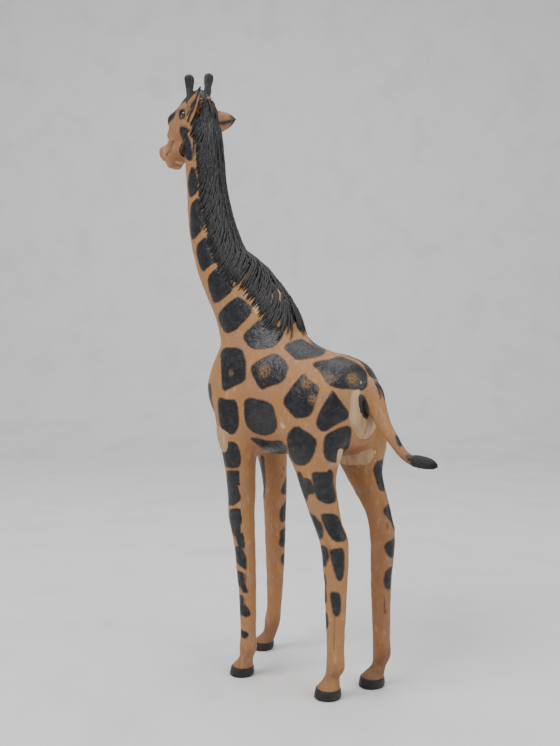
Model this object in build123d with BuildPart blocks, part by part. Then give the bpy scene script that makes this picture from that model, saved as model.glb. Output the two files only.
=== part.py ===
"""Standing giraffe figure: a doweled wooden core under a glued leather hide.

Frame: +Z up, -Y is the way the giraffe faces, +X is its left side. The figure is built about its
own middle plane, and the last lines move it so that the origin is on the floor, under the middle
of its outline. All sizes are in millimetres.
"""
from build123d import *
from dataclasses import dataclass
import os

# ---------------------------------------------------------------- driving dimensions
leg_length = 222.0  # floor to the line of the belly
body_length = 193.0  # chest to rump
body_width = 84.0  # widest part of the barrel
body_height = 120.0  # deepest part of the barrel
chest_y = -94.0  # where the chest starts
neck_rise = 272.0  # height from the neck's root to its top section
neck_reach = 96.0  # how far the neck leans forward over that height
head_length = 75.0  # poll to lip
hide = 1.4  # leather thickness

hoof_height = 9.0
hoof_proud = 0.8  # how far a hoof stands out past the leather's edge
spigot_radius = 3.0  # round tenon under a leg core, in its hoof
spigot_length = 6.0

leg_dowel_radius = 5.0
leg_dowel_length = 44.0
dowel_lean = 0.65  # share of its sideways place that a leg dowel keeps at its upper end
neck_dowel_radius = 8.0
neck_dowel_length = 70.0
head_dowel_radius = 5.0
head_dowel_length = 40.0
fit_clearance = 0.1  # radial, between a dowel, peg or stalk and its hole
hole_end_gap = 1.0  # glue room at a blind end

eye_radius = 4.2
eye_stalk_radius = 1.0
eye_stalk_length = 6.0
horn_shaft_radius = 4.4
horn_knob_radius = 5.6
horn_peg_radius = 2.5
horn_peg_length = 8.0
left_horn_length = 32.0  # above its peg
right_horn_length = 41.0

ear_thickness = 1.8
ear_cup_radius = 12.0  # of the hollow that an ear is folded to
right_ear_length = 27.0
right_ear_half_width = 11.0
left_ear_length = 40.0
left_ear_half_width = 7.0

tail_wire_radius = 1.3
tail_wire_anchor = 30.0  # length of wire inside the body
tail_wire_in_tuft = 12.0
tuft_length = 22.0
mane_proud = 2.6  # how far the mane stands out past the neck's leather
mane_half_width = 12.0

os.makedirs("parts", exist_ok=True)


@dataclass(frozen=True)
class Station:
    """One oval section of the figure: its centre, half width and half depth."""

    x: float
    y: float
    z: float
    half_width: float
    half_depth: float

    @property
    def centre(self):
        """The middle of the oval."""
        return Vector(self.x, self.y, self.z)


@dataclass(frozen=True)
class Dowel:
    """A round pin, glued into a blind hole at each end."""

    start: Vector
    end: Vector
    radius: float

    def pin(self):
        """The pin itself."""
        return rod(self.start, self.end, self.radius)

    def hole(self):
        """What both holes take away, with glue room round the pin and past its ends."""
        room = (self.end - self.start).normalized() * hole_end_gap
        return rod(self.start - room, self.end + room, self.radius + fit_clearance)


def rod(start, end, radius):
    """Round bar from one point to another."""
    with BuildPart() as bar:
        with BuildSketch(Plane(origin=start, z_dir=end - start)):
            Circle(radius)
        extrude(amount=(end - start).length)
    return bar.part


def dowel_along(middle, towards, length, radius):
    """Dowel of a given length, centred on a point and aimed at another."""
    half = (towards - middle).normalized() * (length / 2)
    return Dowel(middle - half, middle + half, radius)


def section_planes(stations, upright=False):
    """A plane for each station, level or square to the line through the centres."""
    planes = []
    for i, here in enumerate(stations):
        before = stations[max(i - 1, 0)]
        after = stations[min(i + 1, len(stations) - 1)]
        along = Vector(0, 0, 1) if upright else (after.centre - before.centre).normalized()
        across = Vector(1, 0, 0) - along * along.X
        planes.append(Plane(origin=here.centre, x_dir=across, z_dir=along))
    return planes


def lofted(stations, inset=0.0, upright=False):
    """Solid through the stations' ovals, drawn in all round by inset.

    An upright limb keeps its end faces where they are; any other is drawn in there too.
    """
    planes = section_planes(stations, upright)
    if not upright:
        planes[0] = planes[0].offset(inset)
        planes[-1] = planes[-1].offset(-inset)
    with BuildPart() as limb:
        for here, plane in zip(stations, planes):
            with BuildSketch(plane):
                Ellipse(here.half_width - inset, here.half_depth - inset)
        loft()
    return limb.part


pieces = {}


def save(piece, name):
    """Keep a finished piece as the node of that name."""
    piece.label = name
    pieces[name] = piece


# ---------------------------------------------------------------- body and neck lines
half_body = body_width / 2
half_barrel = body_height / 2
# share of the length, centre above the belly line, share of half width, share of half height
torso_profile = [
    (0.00, 63, 0.21, 0.17),
    (0.05, 63, 0.62, 0.54),
    (0.16, 62, 0.84, 0.87),
    (0.33, 58, 0.94, 1.02),
    (0.53, 54, 0.98, 0.96),
    (0.72, 50, 1.00, 0.84),
    (0.86, 50, 0.98, 0.76),
    (0.95, 52, 0.78, 0.62),
    (1.00, 52, 0.36, 0.26),
]
torso_line = [
    Station(0, chest_y + share * body_length, leg_length + above, wide * half_body, deep * half_barrel)
    for share, above, wide, deep in torso_profile
]

neck_root = Vector(0, chest_y + 0.35 * body_length, leg_length + 78)
# share of the rise, share of the reach, half width, half depth
neck_profile = [
    (0.00, 0.00, 34.0, 59.0),
    (0.15, 0.11, 28.5, 50.0),
    (0.28, 0.32, 23.6, 41.0),
    (0.40, 0.61, 21.5, 31.5),
    (0.52, 0.77, 20.0, 28.5),
    (0.63, 0.86, 17.5, 26.5),
    (0.74, 0.91, 16.0, 24.0),
    (0.85, 0.94, 15.8, 23.5),
    (0.94, 0.98, 15.0, 24.0),
    (1.00, 1.00, 11.0, 17.0),
]
neck_line = [
    Station(0, neck_root.Y - reach * neck_reach, neck_root.Z + rise * neck_rise, wide, deep)
    for rise, reach, wide, deep in neck_profile
]

# ---------------------------------------------------------------- head line
poll = neck_line[-1].centre + Vector(0, 9, 20)
# share of the head's length forwards, then down, half width, half depth
head_profile = [
    (-0.06, -0.03, 5.0, 16.0),
    (0.00, 0.00, 11.0, 24.0),
    (0.20, 0.12, 16.5, 27.0),
    (0.39, 0.30, 16.4, 21.5),
    (0.56, 0.50, 13.5, 14.5),
    (0.64, 0.65, 12.5, 12.5),
    (0.66, 0.76, 6.0, 6.0),
]
head_line = [
    Station(0, poll.Y - ahead * head_length, poll.Z - below * head_length, wide, deep)
    for ahead, below, wide, deep in head_profile
]
brow = head_line[2]
bump_radius = 8.5  # lump on the bridge of the nose


def on_head(left, forwards, up):
    """Point measured from the middle of the brow's section."""
    return brow.centre + Vector(left, -forwards, up)


# ---------------------------------------------------------------- leg lines
@dataclass(frozen=True)
class Leg:
    """One leg: where its foot stands, its sole's half sizes and its sections going up.

    Each section is: share of the way from the hoof's top to the belly line, centre offset
    from the foot in x and y, half width, half depth. The last one is buried in the body.
    """

    x: float
    y: float
    sole_half_width: float
    sole_half_depth: float
    profile: tuple

    def line(self):
        """Stations from the hoof's top upwards."""
        rise = leg_length - hoof_height
        return [
            Station(self.x + dx, self.y + dy, hoof_height + share * rise, wide, deep)
            for share, dx, dy, wide, deep in self.profile
        ]

    def sole(self):
        """Station at the floor."""
        return Station(self.x, self.y, 0, self.sole_half_width, self.sole_half_depth)


rump_y = chest_y + body_length
front_left = Leg(
    32.0,
    chest_y + 62.0,
    12.2,
    12.0,
    (
        (0.000, 0.0, 1.5, 9.8, 10.6),
        (0.046, 1.0, 7.0, 6.8, 7.6),
        (0.098, 1.5, 10.0, 7.9, 8.8),
        (0.166, 0.0, 9.0, 7.2, 8.0),
        (0.250, -1.4, 7.3, 7.8, 8.5),
        (0.333, -2.7, 5.5, 8.4, 9.0),
        (0.437, -3.6, 3.0, 8.8, 10.2),
        (0.541, -4.5, 0.5, 9.2, 11.4),
        (0.687, -5.0, -4.5, 12.0, 13.9),
        (0.792, -4.5, -4.0, 12.9, 14.5),
        (0.948, -4.0, -6.0, 15.3, 17.0),
        (1.136, -5.0, -10.0, 16.5, 25.0),
        (1.310, -10.0, -13.0, 11.0, 20.0),
    ),
)
front_right = Leg(
    -36.0,
    chest_y + 32.0,
    11.6,
    11.0,
    (
        (0.000, 0.5, 2.0, 10.0, 10.6),
        (0.046, -0.7, 9.0, 6.9, 7.6),
        (0.108, -1.2, 12.5, 7.7, 9.0),
        (0.177, -1.3, 14.5, 7.2, 8.0),
        (0.255, -2.8, 14.3, 7.8, 9.0),
        (0.333, -4.2, 14.0, 8.4, 10.0),
        (0.437, -4.8, 13.5, 9.3, 10.8),
        (0.541, -5.3, 13.0, 10.3, 11.6),
        (0.687, -5.4, 12.5, 12.3, 12.4),
        (0.792, -5.4, 12.5, 12.7, 13.2),
        (0.948, -2.5, 11.0, 14.6, 17.0),
        (1.136, 2.6, 6.5, 16.2, 25.5),
        (1.310, 13.0, 4.0, 11.0, 20.0),
    ),
)
hind_left = Leg(
    23.0,
    rump_y - 32.5,
    13.0,
    12.4,
    (
        (0.000, 0.0, 1.0, 10.2, 11.0),
        (0.046, -1.0, 4.5, 6.4, 7.2),
        (0.098, 0.0, 9.0, 7.2, 9.2),
        (0.166, 0.0, 9.0, 7.0, 8.4),
        (0.245, -0.1, 9.0, 7.7, 9.1),
        (0.323, -0.2, 9.0, 8.4, 9.8),
        (0.400, -0.3, 9.0, 8.9, 10.7),
        (0.480, -0.4, 9.0, 9.4, 11.6),
        (0.635, -0.4, 7.0, 10.4, 14.6),
        (0.740, 2.4, -0.5, 10.0, 16.0),
        (0.917, 6.0, -8.5, 12.8, 20.8),
        (1.083, 5.0, -12.5, 17.6, 32.5),
        (1.265, 0.0, -15.0, 14.0, 27.0),
    ),
)
hind_right = Leg(
    -26.0,
    rump_y - 15.5,
    13.6,
    12.0,
    (
        (0.000, 0.0, 1.0, 10.4, 10.8),
        (0.050, -3.5, 6.0, 6.4, 7.2),
        (0.108, -2.0, 10.0, 7.4, 9.0),
        (0.177, -1.4, 10.0, 7.2, 8.3),
        (0.250, -1.2, 10.0, 7.6, 8.9),
        (0.323, -1.0, 10.0, 8.0, 9.4),
        (0.400, -0.5, 10.5, 8.5, 10.1),
        (0.480, 0.0, 11.0, 8.9, 10.8),
        (0.645, 0.0, 12.0, 9.8, 12.6),
        (0.750, -1.6, 5.5, 9.0, 14.0),
        (0.917, -1.0, -11.0, 12.2, 21.0),
        (1.083, 0.4, -17.0, 16.8, 33.5),
        (1.265, 3.6, -20.0, 14.0, 27.0),
    ),
)
legs = {
    "front_left": front_left,
    "front_right": front_right,
    "hind_left": hind_left,
    "hind_right": hind_right,
}

# ---------------------------------------------------------------- tail and mane lines
tail_root = torso_line[-1].centre
# distance behind the rump's end, height above it, radius
tail_profile = [
    (-14.0, 18.0, 7.0),
    (0.0, 11.0, 9.2),
    (6.5, -3.0, 8.8),
    (13.0, -19.0, 7.0),
    (23.0, -33.0, 5.4),
    (33.0, -45.5, 4.5),
    (41.0, -51.0, 4.6),
    (47.0, -52.0, 5.0),
]
tail_line = [Station(0, tail_root.Y + back, tail_root.Z + up, r, r) for back, up, r in tail_profile]
tail_tip = tail_line[-1].centre
# share of the tuft's length, drop, radius
tuft_profile = [
    (-0.10, 0.1, 4.6),
    (0.12, -0.2, 5.4),
    (0.40, -0.8, 5.6),
    (0.75, -1.8, 4.8),
    (1.00, -3.2, 1.8),
]
tuft_line = [
    Station(0, tail_tip.Y + share * tuft_length, tail_tip.Z + drop, r, r)
    for share, drop, r in tuft_profile
]

mane_half_depth = 14.0
# which neck section, share of the full half width
mane_profile = [(1, 0.55), (2, 0.8), (3, 1.0), (4, 1.1), (5, 1.1), (6, 1.1), (7, 1.1), (8, 1.05)]
neck_planes = section_planes(neck_line)


def behind_neck(index, depth):
    """Point behind a neck section's centre, square to the neck's line there."""
    return neck_planes[index].origin + neck_planes[index].y_dir * depth


mane_end = behind_neck(1, neck_line[1].half_depth - 4) - Vector(0, -3, 14)
mane_line = [Station(0, mane_end.Y, mane_end.Z, 2.5, 5.0)]
for index, share in mane_profile:
    middle = behind_neck(index, neck_line[index].half_depth + mane_proud - mane_half_depth)
    mane_line.append(Station(0, middle.Y, middle.Z, share * mane_half_width, mane_half_depth))
mane_line.append(Station(0, poll.Y - 2, poll.Z - 4, 0.95 * mane_half_width, 11.0))
mane_line.append(Station(0, poll.Y - 9, poll.Z + 14, 0.55 * mane_half_width, 6.0))

# ---------------------------------------------------------------- outside and core volumes
torso_outside = lofted(torso_line)
torso_inside = lofted(torso_line, hide)
neck_outside = lofted(neck_line)
neck_inside = lofted(neck_line, hide)


def head_volume(inset):
    """The head with the lump on its nose, drawn in by inset."""
    skull = lofted(head_line, inset)
    with BuildPart() as whole:
        add(skull)
        with Locations(on_head(0, 33, 4)):
            Sphere(bump_radius - inset)
    return whole.part


head_outside = head_volume(0)
head_inside = head_volume(hide)
leg_outsides = {name: lofted(leg.line(), upright=True) for name, leg in legs.items()}
leg_insides = {name: lofted(leg.line(), hide, upright=True) for name, leg in legs.items()}
tail_outside = lofted(tail_line)

# ---------------------------------------------------------------- dowels
neck_dowel_middle = neck_line[1].centre + Vector(0, -2, 0)
neck_dowel = dowel_along(neck_dowel_middle, neck_line[2].centre, neck_dowel_length, neck_dowel_radius)
head_dowel_middle = neck_line[-1].centre + Vector(0, 0, -8)
head_dowel = dowel_along(head_dowel_middle, poll, head_dowel_length, head_dowel_radius)

leg_dowels = {}
for name, leg in legs.items():
    thigh = leg.line()[-3].centre
    inside = Vector(thigh.X * dowel_lean, thigh.Y, thigh.Z + leg_dowel_length)
    end = thigh + (inside - thigh).normalized() * leg_dowel_length
    leg_dowels[name] = Dowel(thigh, end, leg_dowel_radius)

# ---------------------------------------------------------------- horns
@dataclass(frozen=True)
class Horn:
    """A horn on its peg: where its shaft starts in the skull, its direction and its length."""

    seat: Vector
    direction: Vector
    length: float

    def solid(self):
        """Shaft, knob and peg in one piece, turned about the horn's own line."""
        upright = self.direction.normalized()
        side = upright.cross(Vector(0, 1, 0)).normalized()
        with BuildPart() as horn:
            with BuildSketch(Plane(origin=self.seat, x_dir=side, z_dir=side.cross(upright))):
                with BuildLine():
                    shoulder = (horn_shaft_radius, 0)
                    neck_point = (horn_shaft_radius * 0.92, self.length - 3 * horn_knob_radius)
                    widest = (horn_knob_radius, self.length - horn_knob_radius)
                    top = (0, self.length)
                    Polyline(
                        (0, -horn_peg_length),
                        (horn_peg_radius, -horn_peg_length),
                        (horn_peg_radius, 0),
                        shoulder,
                        neck_point,
                    )
                    TangentArc(neck_point, widest, tangent=(0.3, 1))
                    RadiusArc(widest, top, -horn_knob_radius)
                    Line(top, (0, -horn_peg_length))
                make_face()
            revolve(axis=Axis(self.seat, upright))
        return horn.part

    def pocket(self):
        """What the skull loses: the shaft's seat and the peg's hole with its clearance."""
        upright = self.direction.normalized()
        bottom = self.seat - upright * (horn_peg_length + hole_end_gap)
        peg_hole = rod(bottom, self.seat, horn_peg_radius + fit_clearance)
        shaft_seat = rod(self.seat, self.seat + upright * self.length / 2, horn_shaft_radius)
        return peg_hole + shaft_seat


horns = {
    "left": Horn(on_head(10.5, -2, 13), Vector(0.02, -0.06, 1), left_horn_length),
    "right": Horn(on_head(-9.0, -6, 13), Vector(-0.19, -0.05, 1), right_horn_length),
}
horn_solids = [horn.solid() for horn in horns.values()]
horn_pockets = [horn.pocket() for horn in horns.values()]

# ---------------------------------------------------------------- eyes
@dataclass(frozen=True)
class Eye:
    """A glass ball on a stalk, let into the side of the skull."""

    centre: Vector
    outlook: Vector

    def ball(self, clearance=0.0, extra=0.0):
        """Ball and stalk, or with clearance and extra length the socket they go into."""
        inwards = self.outlook.normalized() * -1
        stalk_end = self.centre + inwards * (eye_radius + eye_stalk_length + extra)
        stalk = rod(self.centre, stalk_end, eye_stalk_radius + clearance)
        seam_inwards = Plane(origin=self.centre, x_dir=inwards, z_dir=inwards.cross(Vector(0, 1, 0)))
        with BuildPart() as eye:
            with Locations(seam_inwards):
                Sphere(eye_radius)
            add(stalk)
        return eye.part


eyes = {
    "left": Eye(on_head(13.6, 4, 1), Vector(1, -0.25, 0.1)),
    "right": Eye(on_head(-13.6, 4, 1), Vector(-1, -0.25, 0.1)),
}
eye_sockets = [eye.ball(fit_clearance, hole_end_gap) for eye in eyes.values()]


# ---------------------------------------------------------------- ears
@dataclass(frozen=True)
class Ear:
    """A leather leaf folded to a hollow: base on the head, tip, and the way its hollow faces."""

    base: Vector
    tip: Vector
    facing: Vector
    half_width: float

    def leaf(self):
        """The leaf before it is trimmed to the head."""
        along = self.tip - self.base
        length = along.length
        along = along.normalized()
        facing = (self.facing - along * self.facing.dot(along)).normalized()
        across = facing.cross(along)
        fold_line = self.base + facing * ear_cup_radius
        with BuildPart() as leaf:
            with BuildSketch(Plane(origin=self.base, x_dir=along, z_dir=facing)):
                with BuildLine():
                    ThreePointArc((0, 0), (0.45 * length, self.half_width), (length, 0))
                    ThreePointArc((length, 0), (0.45 * length, -self.half_width), (0, 0))
                make_face()
            extrude(amount=ear_cup_radius)
            with BuildSketch(Plane(origin=fold_line, x_dir=across, z_dir=along)):
                Circle(ear_cup_radius)
                Circle(ear_cup_radius - ear_thickness, mode=Mode.SUBTRACT)
            extrude(amount=length, mode=Mode.INTERSECT)
        return leaf.part


right_ear_way = Vector(-0.93, 0.42, 0.30).normalized()
left_ear_way = Vector(-0.06, 0.50, 1).normalized()
right_ear_base = on_head(-11.0, -19, -6)
left_ear_base = on_head(15.8, -4, -9)
left_ear_tip = left_ear_base + left_ear_way * left_ear_length
right_ear_tip = right_ear_base + right_ear_way * right_ear_length
ears = {
    "left": Ear(left_ear_base, left_ear_tip, Vector(1, 0.1, 0), left_ear_half_width),
    "right": Ear(right_ear_base, right_ear_tip, Vector(0.3, -1, 0), right_ear_half_width),
}

# ---------------------------------------------------------------- tail wire
wire_start = tail_root + Vector(0, -tail_wire_anchor, 2)
wire_points = [wire_start, tail_line[1].centre + Vector(0, -3, -4)]
wire_points += [station.centre for station in tail_line[3:7]]
wire_points.append(tail_tip + Vector(0, tail_wire_in_tuft, 0))
wire_bend = 9.0  # radius of the wire's bends
with BuildPart() as tail_wire:
    with BuildLine() as wire_path:
        FilletPolyline(*wire_points, radius=wire_bend)
    with BuildSketch(Plane(origin=wire_path.line @ 0, z_dir=wire_path.line % 0)):
        Circle(tail_wire_radius)
    sweep()
save(tail_wire.part, "tail_wire")
wire_hole = tail_wire.part

# ---------------------------------------------------------------- wooden core pieces
with BuildPart() as torso_core:
    add(torso_inside)
    for pin in (neck_dowel, *leg_dowels.values()):
        add(pin.hole(), mode=Mode.SUBTRACT)
    add(wire_hole, mode=Mode.SUBTRACT)
save(torso_core.part, "torso_core")

with BuildPart() as neck_core:
    add(neck_inside)
    add(torso_inside, mode=Mode.SUBTRACT)
    add(head_inside, mode=Mode.SUBTRACT)
    for pin in (neck_dowel, head_dowel):
        add(pin.hole(), mode=Mode.SUBTRACT)
save(neck_core.part, "neck_core")

with BuildPart() as head_core:
    add(head_inside)
    add(head_dowel.hole(), mode=Mode.SUBTRACT)
    for socket in (*eye_sockets, *horn_pockets):
        add(socket, mode=Mode.SUBTRACT)
save(head_core.part, "head_core")

save(neck_dowel.pin(), "neck_dowel")
save(head_dowel.pin(), "head_dowel")

# ---------------------------------------------------------------- legs and hooves
for name, leg in legs.items():
    hoof_top = leg.line()[0]
    spigot_end = hoof_top.centre - Vector(0, 0, spigot_length)
    spigot = rod(spigot_end, hoof_top.centre, spigot_radius)
    spigot_hole = rod(
        spigot_end - Vector(0, 0, hole_end_gap), hoof_top.centre, spigot_radius + fit_clearance
    )

    with BuildPart() as leg_core:
        add(leg_insides[name])
        add(torso_inside, mode=Mode.SUBTRACT)
        add(neck_outside, mode=Mode.SUBTRACT)
        add(leg_dowels[name].hole(), mode=Mode.SUBTRACT)
        add(spigot)
    save(leg_core.part, f"{name}_leg_core")

    save(leg_dowels[name].pin(), f"{name}_leg_dowel")

    with BuildPart() as leg_hide:
        add(leg_outsides[name])
        add(leg_insides[name], mode=Mode.SUBTRACT)
        add(torso_inside, mode=Mode.SUBTRACT)
        add(neck_outside, mode=Mode.SUBTRACT)
    save(leg_hide.part, f"{name}_leg_hide")

    sole = leg.sole()
    with BuildPart() as hoof:
        with BuildSketch(Plane(origin=sole.centre)):
            Ellipse(sole.half_width, sole.half_depth)
        with BuildSketch(Plane(origin=hoof_top.centre)):
            Ellipse(hoof_top.half_width + hoof_proud, hoof_top.half_depth + hoof_proud)
        loft()
        add(spigot_hole, mode=Mode.SUBTRACT)
    save(hoof.part, f"{name}_hoof")

# ---------------------------------------------------------------- body, neck and head hide
with BuildPart() as torso_hide:
    add(torso_outside)
    add(torso_inside, mode=Mode.SUBTRACT)
    add(neck_outside, mode=Mode.SUBTRACT)
    for leg_outside in leg_outsides.values():
        add(leg_outside, mode=Mode.SUBTRACT)
    add(wire_hole, mode=Mode.SUBTRACT)
save(torso_hide.part, "torso_hide")

with BuildPart() as neck_hide:
    add(neck_outside)
    for core in (neck_inside, torso_inside, head_outside):
        add(core, mode=Mode.SUBTRACT)
save(neck_hide.part, "neck_hide")

with BuildPart() as head_hide:
    add(head_outside)
    add(head_inside, mode=Mode.SUBTRACT)
    add(neck_inside, mode=Mode.SUBTRACT)
    for socket in (*eye_sockets, *horn_pockets):
        add(socket, mode=Mode.SUBTRACT)
save(head_hide.part, "head_hide")

# ---------------------------------------------------------------- tail
with BuildPart() as tail_hide:
    add(tail_outside)
    add(torso_outside, mode=Mode.SUBTRACT)
    for leg_outside in leg_outsides.values():
        add(leg_outside, mode=Mode.SUBTRACT)
    add(wire_hole, mode=Mode.SUBTRACT)
save(tail_hide.part, "tail_hide")

with BuildPart() as tail_tuft:
    add(lofted(tuft_line))
    add(tail_outside, mode=Mode.SUBTRACT)
    add(wire_hole, mode=Mode.SUBTRACT)
save(tail_tuft.part, "tail_tuft")

# ---------------------------------------------------------------- mane, horns, eyes and ears
with BuildPart() as mane:
    add(lofted(mane_line))
    for neighbour in (neck_outside, head_outside, torso_outside, *horn_solids):
        add(neighbour, mode=Mode.SUBTRACT)
save(mane.part, "mane")

for side, horn in zip(horns, horn_solids):
    save(horn, f"{side}_horn")

for side, eye in eyes.items():
    save(eye.ball(), f"{side}_eye")

for side, ear in ears.items():
    leaf = ear.leaf()
    with BuildPart() as trimmed_ear:
        add(leaf)
        for neighbour in (head_outside, neck_outside, mane.part, *horn_solids, eyes[side].ball()):
            add(neighbour, mode=Mode.SUBTRACT)
    save(trimmed_ear.part, f"{side}_ear")

# ---------------------------------------------------------------- origin and files
boxes = [piece.bounding_box() for piece in pieces.values()]
middle_x = round((min(box.min.X for box in boxes) + max(box.max.X for box in boxes)) / 2, 1)
middle_y = round((min(box.min.Y for box in boxes) + max(box.max.Y for box in boxes)) / 2, 1)
to_origin = Location((-middle_x, -middle_y, 0))
for name, piece in pieces.items():
    export_step(piece.moved(to_origin), f"parts/{name}.step")
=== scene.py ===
import logging
import math
from dataclasses import dataclass, replace
from typing import Callable, Sequence

import bmesh
import bpy
import numpy as np
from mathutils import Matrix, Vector


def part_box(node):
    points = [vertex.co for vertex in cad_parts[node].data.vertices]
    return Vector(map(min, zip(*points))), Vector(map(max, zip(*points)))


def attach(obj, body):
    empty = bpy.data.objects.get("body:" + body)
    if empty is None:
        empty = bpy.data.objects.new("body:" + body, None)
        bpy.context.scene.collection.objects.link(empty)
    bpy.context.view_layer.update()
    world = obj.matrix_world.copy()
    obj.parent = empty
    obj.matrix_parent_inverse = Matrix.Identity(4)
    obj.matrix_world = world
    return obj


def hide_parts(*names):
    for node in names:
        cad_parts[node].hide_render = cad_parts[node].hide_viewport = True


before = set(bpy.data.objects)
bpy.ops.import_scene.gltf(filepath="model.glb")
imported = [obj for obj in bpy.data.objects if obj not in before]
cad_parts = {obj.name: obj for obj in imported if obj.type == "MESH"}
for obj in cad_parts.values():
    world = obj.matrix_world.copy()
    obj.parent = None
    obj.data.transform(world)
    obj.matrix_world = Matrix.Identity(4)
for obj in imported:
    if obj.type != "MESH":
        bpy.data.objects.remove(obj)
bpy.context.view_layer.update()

log = logging.getLogger("giraffe")

MM = 0.001  # the figure is laid out in millimetres and written to Blender in metres
FAR = 60.0  # distance given to points that a limb doesn't reach, in millimetres
HIDE = 1.2  # thickness of the modelled leather, in millimetres
CELL = 1.1  # spacing of the lattice that the hide is drawn on
FINE_CELL = 0.62  # the same for the head, the mane and the ears

Array = np.ndarray
Point = tuple[float, float, float]


# ---------------------------------------------------------------- shape fields
@dataclass(frozen=True)
class Station:
    """One oval section of a limb, in millimetres."""

    x: float
    y: float
    z: float
    half_width: float
    half_depth: float


def smooth_line(rows: Array, steps: int) -> Array:
    """Pass a smooth curve through rows of numbers.

    Args:
        rows: one row of numbers for each station.
        steps: how many rows come out for each gap between two stations.

    Returns:
        The denser rows, with the first and last kept.
    """
    padded = np.vstack([2 * rows[0] - rows[1], rows, 2 * rows[-1] - rows[-2]])
    out = []
    for i in range(len(rows) - 1):
        before, here, after, beyond = padded[i : i + 4]
        for t in np.arange(steps) / steps:
            leaving = (after - before) / 2
            arriving = (beyond - here) / 2
            out.append(
                (2 * t**3 - 3 * t**2 + 1) * here
                + (t**3 - 2 * t**2 + t) * leaving
                + (3 * t**2 - 2 * t**3) * after
                + (t**3 - t**2) * arriving
            )
    out.append(rows[-1])
    return np.array(out)


class Limb:
    """A run of oval stations that can be asked how far any point is from its skin."""

    def __init__(self, stations: Sequence[Station], level: bool = False, steps: int = 6) -> None:
        """Prepare the limb's dense sections.

        Args:
            stations: the ovals, from one end to the other.
            level: True if every oval lies level, False if it is square to the limb.
            steps: dense sections for each gap between two stations.
        """
        rows = np.array([[s.x, s.y, s.z, s.half_width, s.half_depth] for s in stations], float)
        dense = smooth_line(rows, steps)
        self.centres = dense[:, :3]
        self.halves = np.maximum(dense[:, 3:], 0.3)
        along = np.gradient(self.centres, axis=0)
        if level:
            along = np.tile([0.0, 0.0, 1.0], (len(dense), 1)) * np.sign(along[:, 2:3].sum())
        self.along = along / np.linalg.norm(along, axis=1, keepdims=True)
        deep = np.cross(self.along, [1.0, 0.0, 0.0])
        self.deep = deep / np.linalg.norm(deep, axis=1, keepdims=True)
        self.wide = np.cross(self.deep, self.along)

    def box(self, margin: float) -> tuple[Array, Array]:
        """Lowest and highest corners of the limb, widened by a margin."""
        reach = self.halves.max(axis=1, keepdims=True) + margin
        return (self.centres - reach).min(axis=0), (self.centres + reach).max(axis=0)

    def _skin(self, points: Array, here: int, there: int, share: Array) -> Array:
        """Distance to the skin of the oval at a share of the way between two sections."""
        mix = share[:, None]
        offset = points - (self.centres[here] * (1 - mix) + self.centres[there] * mix)
        wide = offset @ ((self.wide[here] + self.wide[there]) / 2)
        deep = offset @ ((self.deep[here] + self.deep[there]) / 2)
        halves = self.halves[here] * (1 - mix) + self.halves[there] * mix
        a = wide / halves[:, 0]
        b = deep / halves[:, 1]
        ring = np.hypot(a, b)
        slope = np.hypot(a / halves[:, 0], b / halves[:, 1])
        core = -halves.min(axis=1)
        return np.where(ring > 0.2, (ring - 1) * ring / np.maximum(slope, 1e-6), core)

    def distance(self, points: Array) -> Array:
        """Distance from each point to the limb's skin, negative inside, in millimetres."""
        result = np.full(len(points), FAR)
        last = len(self.centres) - 1
        ahead = (points - self.centres[0]) @ self.along[0]
        for end, outside in ((0, -ahead), (last, (points - self.centres[last]) @ self.along[last])):
            near = (outside >= 0) & (outside < FAR)
            if near.any():
                skin = self._skin(points[near], end, end, np.zeros(near.sum()))
                result[near] = np.hypot(np.maximum(skin, 0), outside[near])
        for i in range(last):
            following = (points - self.centres[i + 1]) @ self.along[i + 1]
            between = (ahead >= 0) & (following < 0)
            if between.any():
                gap = ahead[between] - following[between]
                share = ahead[between] / np.maximum(gap, 1e-9)
                skin = self._skin(points[between], i, i + 1, share)
                result[between] = np.minimum(result[between], skin)
            ahead = following
        return result


def blend(first: Array, second: Array, width: float) -> Array:
    """Join two distance fields with a fillet of about a given width."""
    overlap = np.maximum(width - np.abs(first - second), 0) / width
    return np.minimum(first, second) - overlap**2 * width / 4


def hashed(cells: Array, seed: int) -> Array:
    """Even random numbers from 0 to 1, one for each whole-number lattice cell."""
    mixed = cells[:, 0] * 73856093 ^ cells[:, 1] * 19349663 ^ cells[:, 2] * 83492791 ^ seed * 2654435
    mixed = (mixed ^ (mixed >> 13)) * 1274126177 & 0x7FFFFFFF
    mixed = (mixed ^ (mixed >> 16)) * 69069 & 0x7FFFFFFF
    return mixed / 0x7FFFFFFF


def noise(points: Array, size: float, seed: int = 0) -> Array:
    """Smooth lattice noise.

    Args:
        points: where to read it, in millimetres.
        size: the size of its lumps, in millimetres.
        seed: picks one of many patterns.

    Returns:
        One value for each point, from -1 to 1.
    """
    scaled = points / size
    cell = np.floor(scaled).astype(np.int64)
    share = scaled - cell
    share = share * share * (3 - 2 * share)
    total = np.zeros(len(points))
    for dx in (0, 1):
        for dy in (0, 1):
            for dz in (0, 1):
                weight = np.abs(1 - dx - share[:, 0])
                weight = weight * np.abs(1 - dy - share[:, 1]) * np.abs(1 - dz - share[:, 2])
                total += weight * hashed(cell + np.array([dx, dy, dz]), seed)
    return total * 2 - 1


def fade(values: Array, start: float, end: float) -> Array:
    """Smooth step from 0 at start to 1 at end; start may be the larger."""
    share = np.clip((values - start) / (end - start), 0, 1)
    return share * share * (3 - 2 * share)


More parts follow.
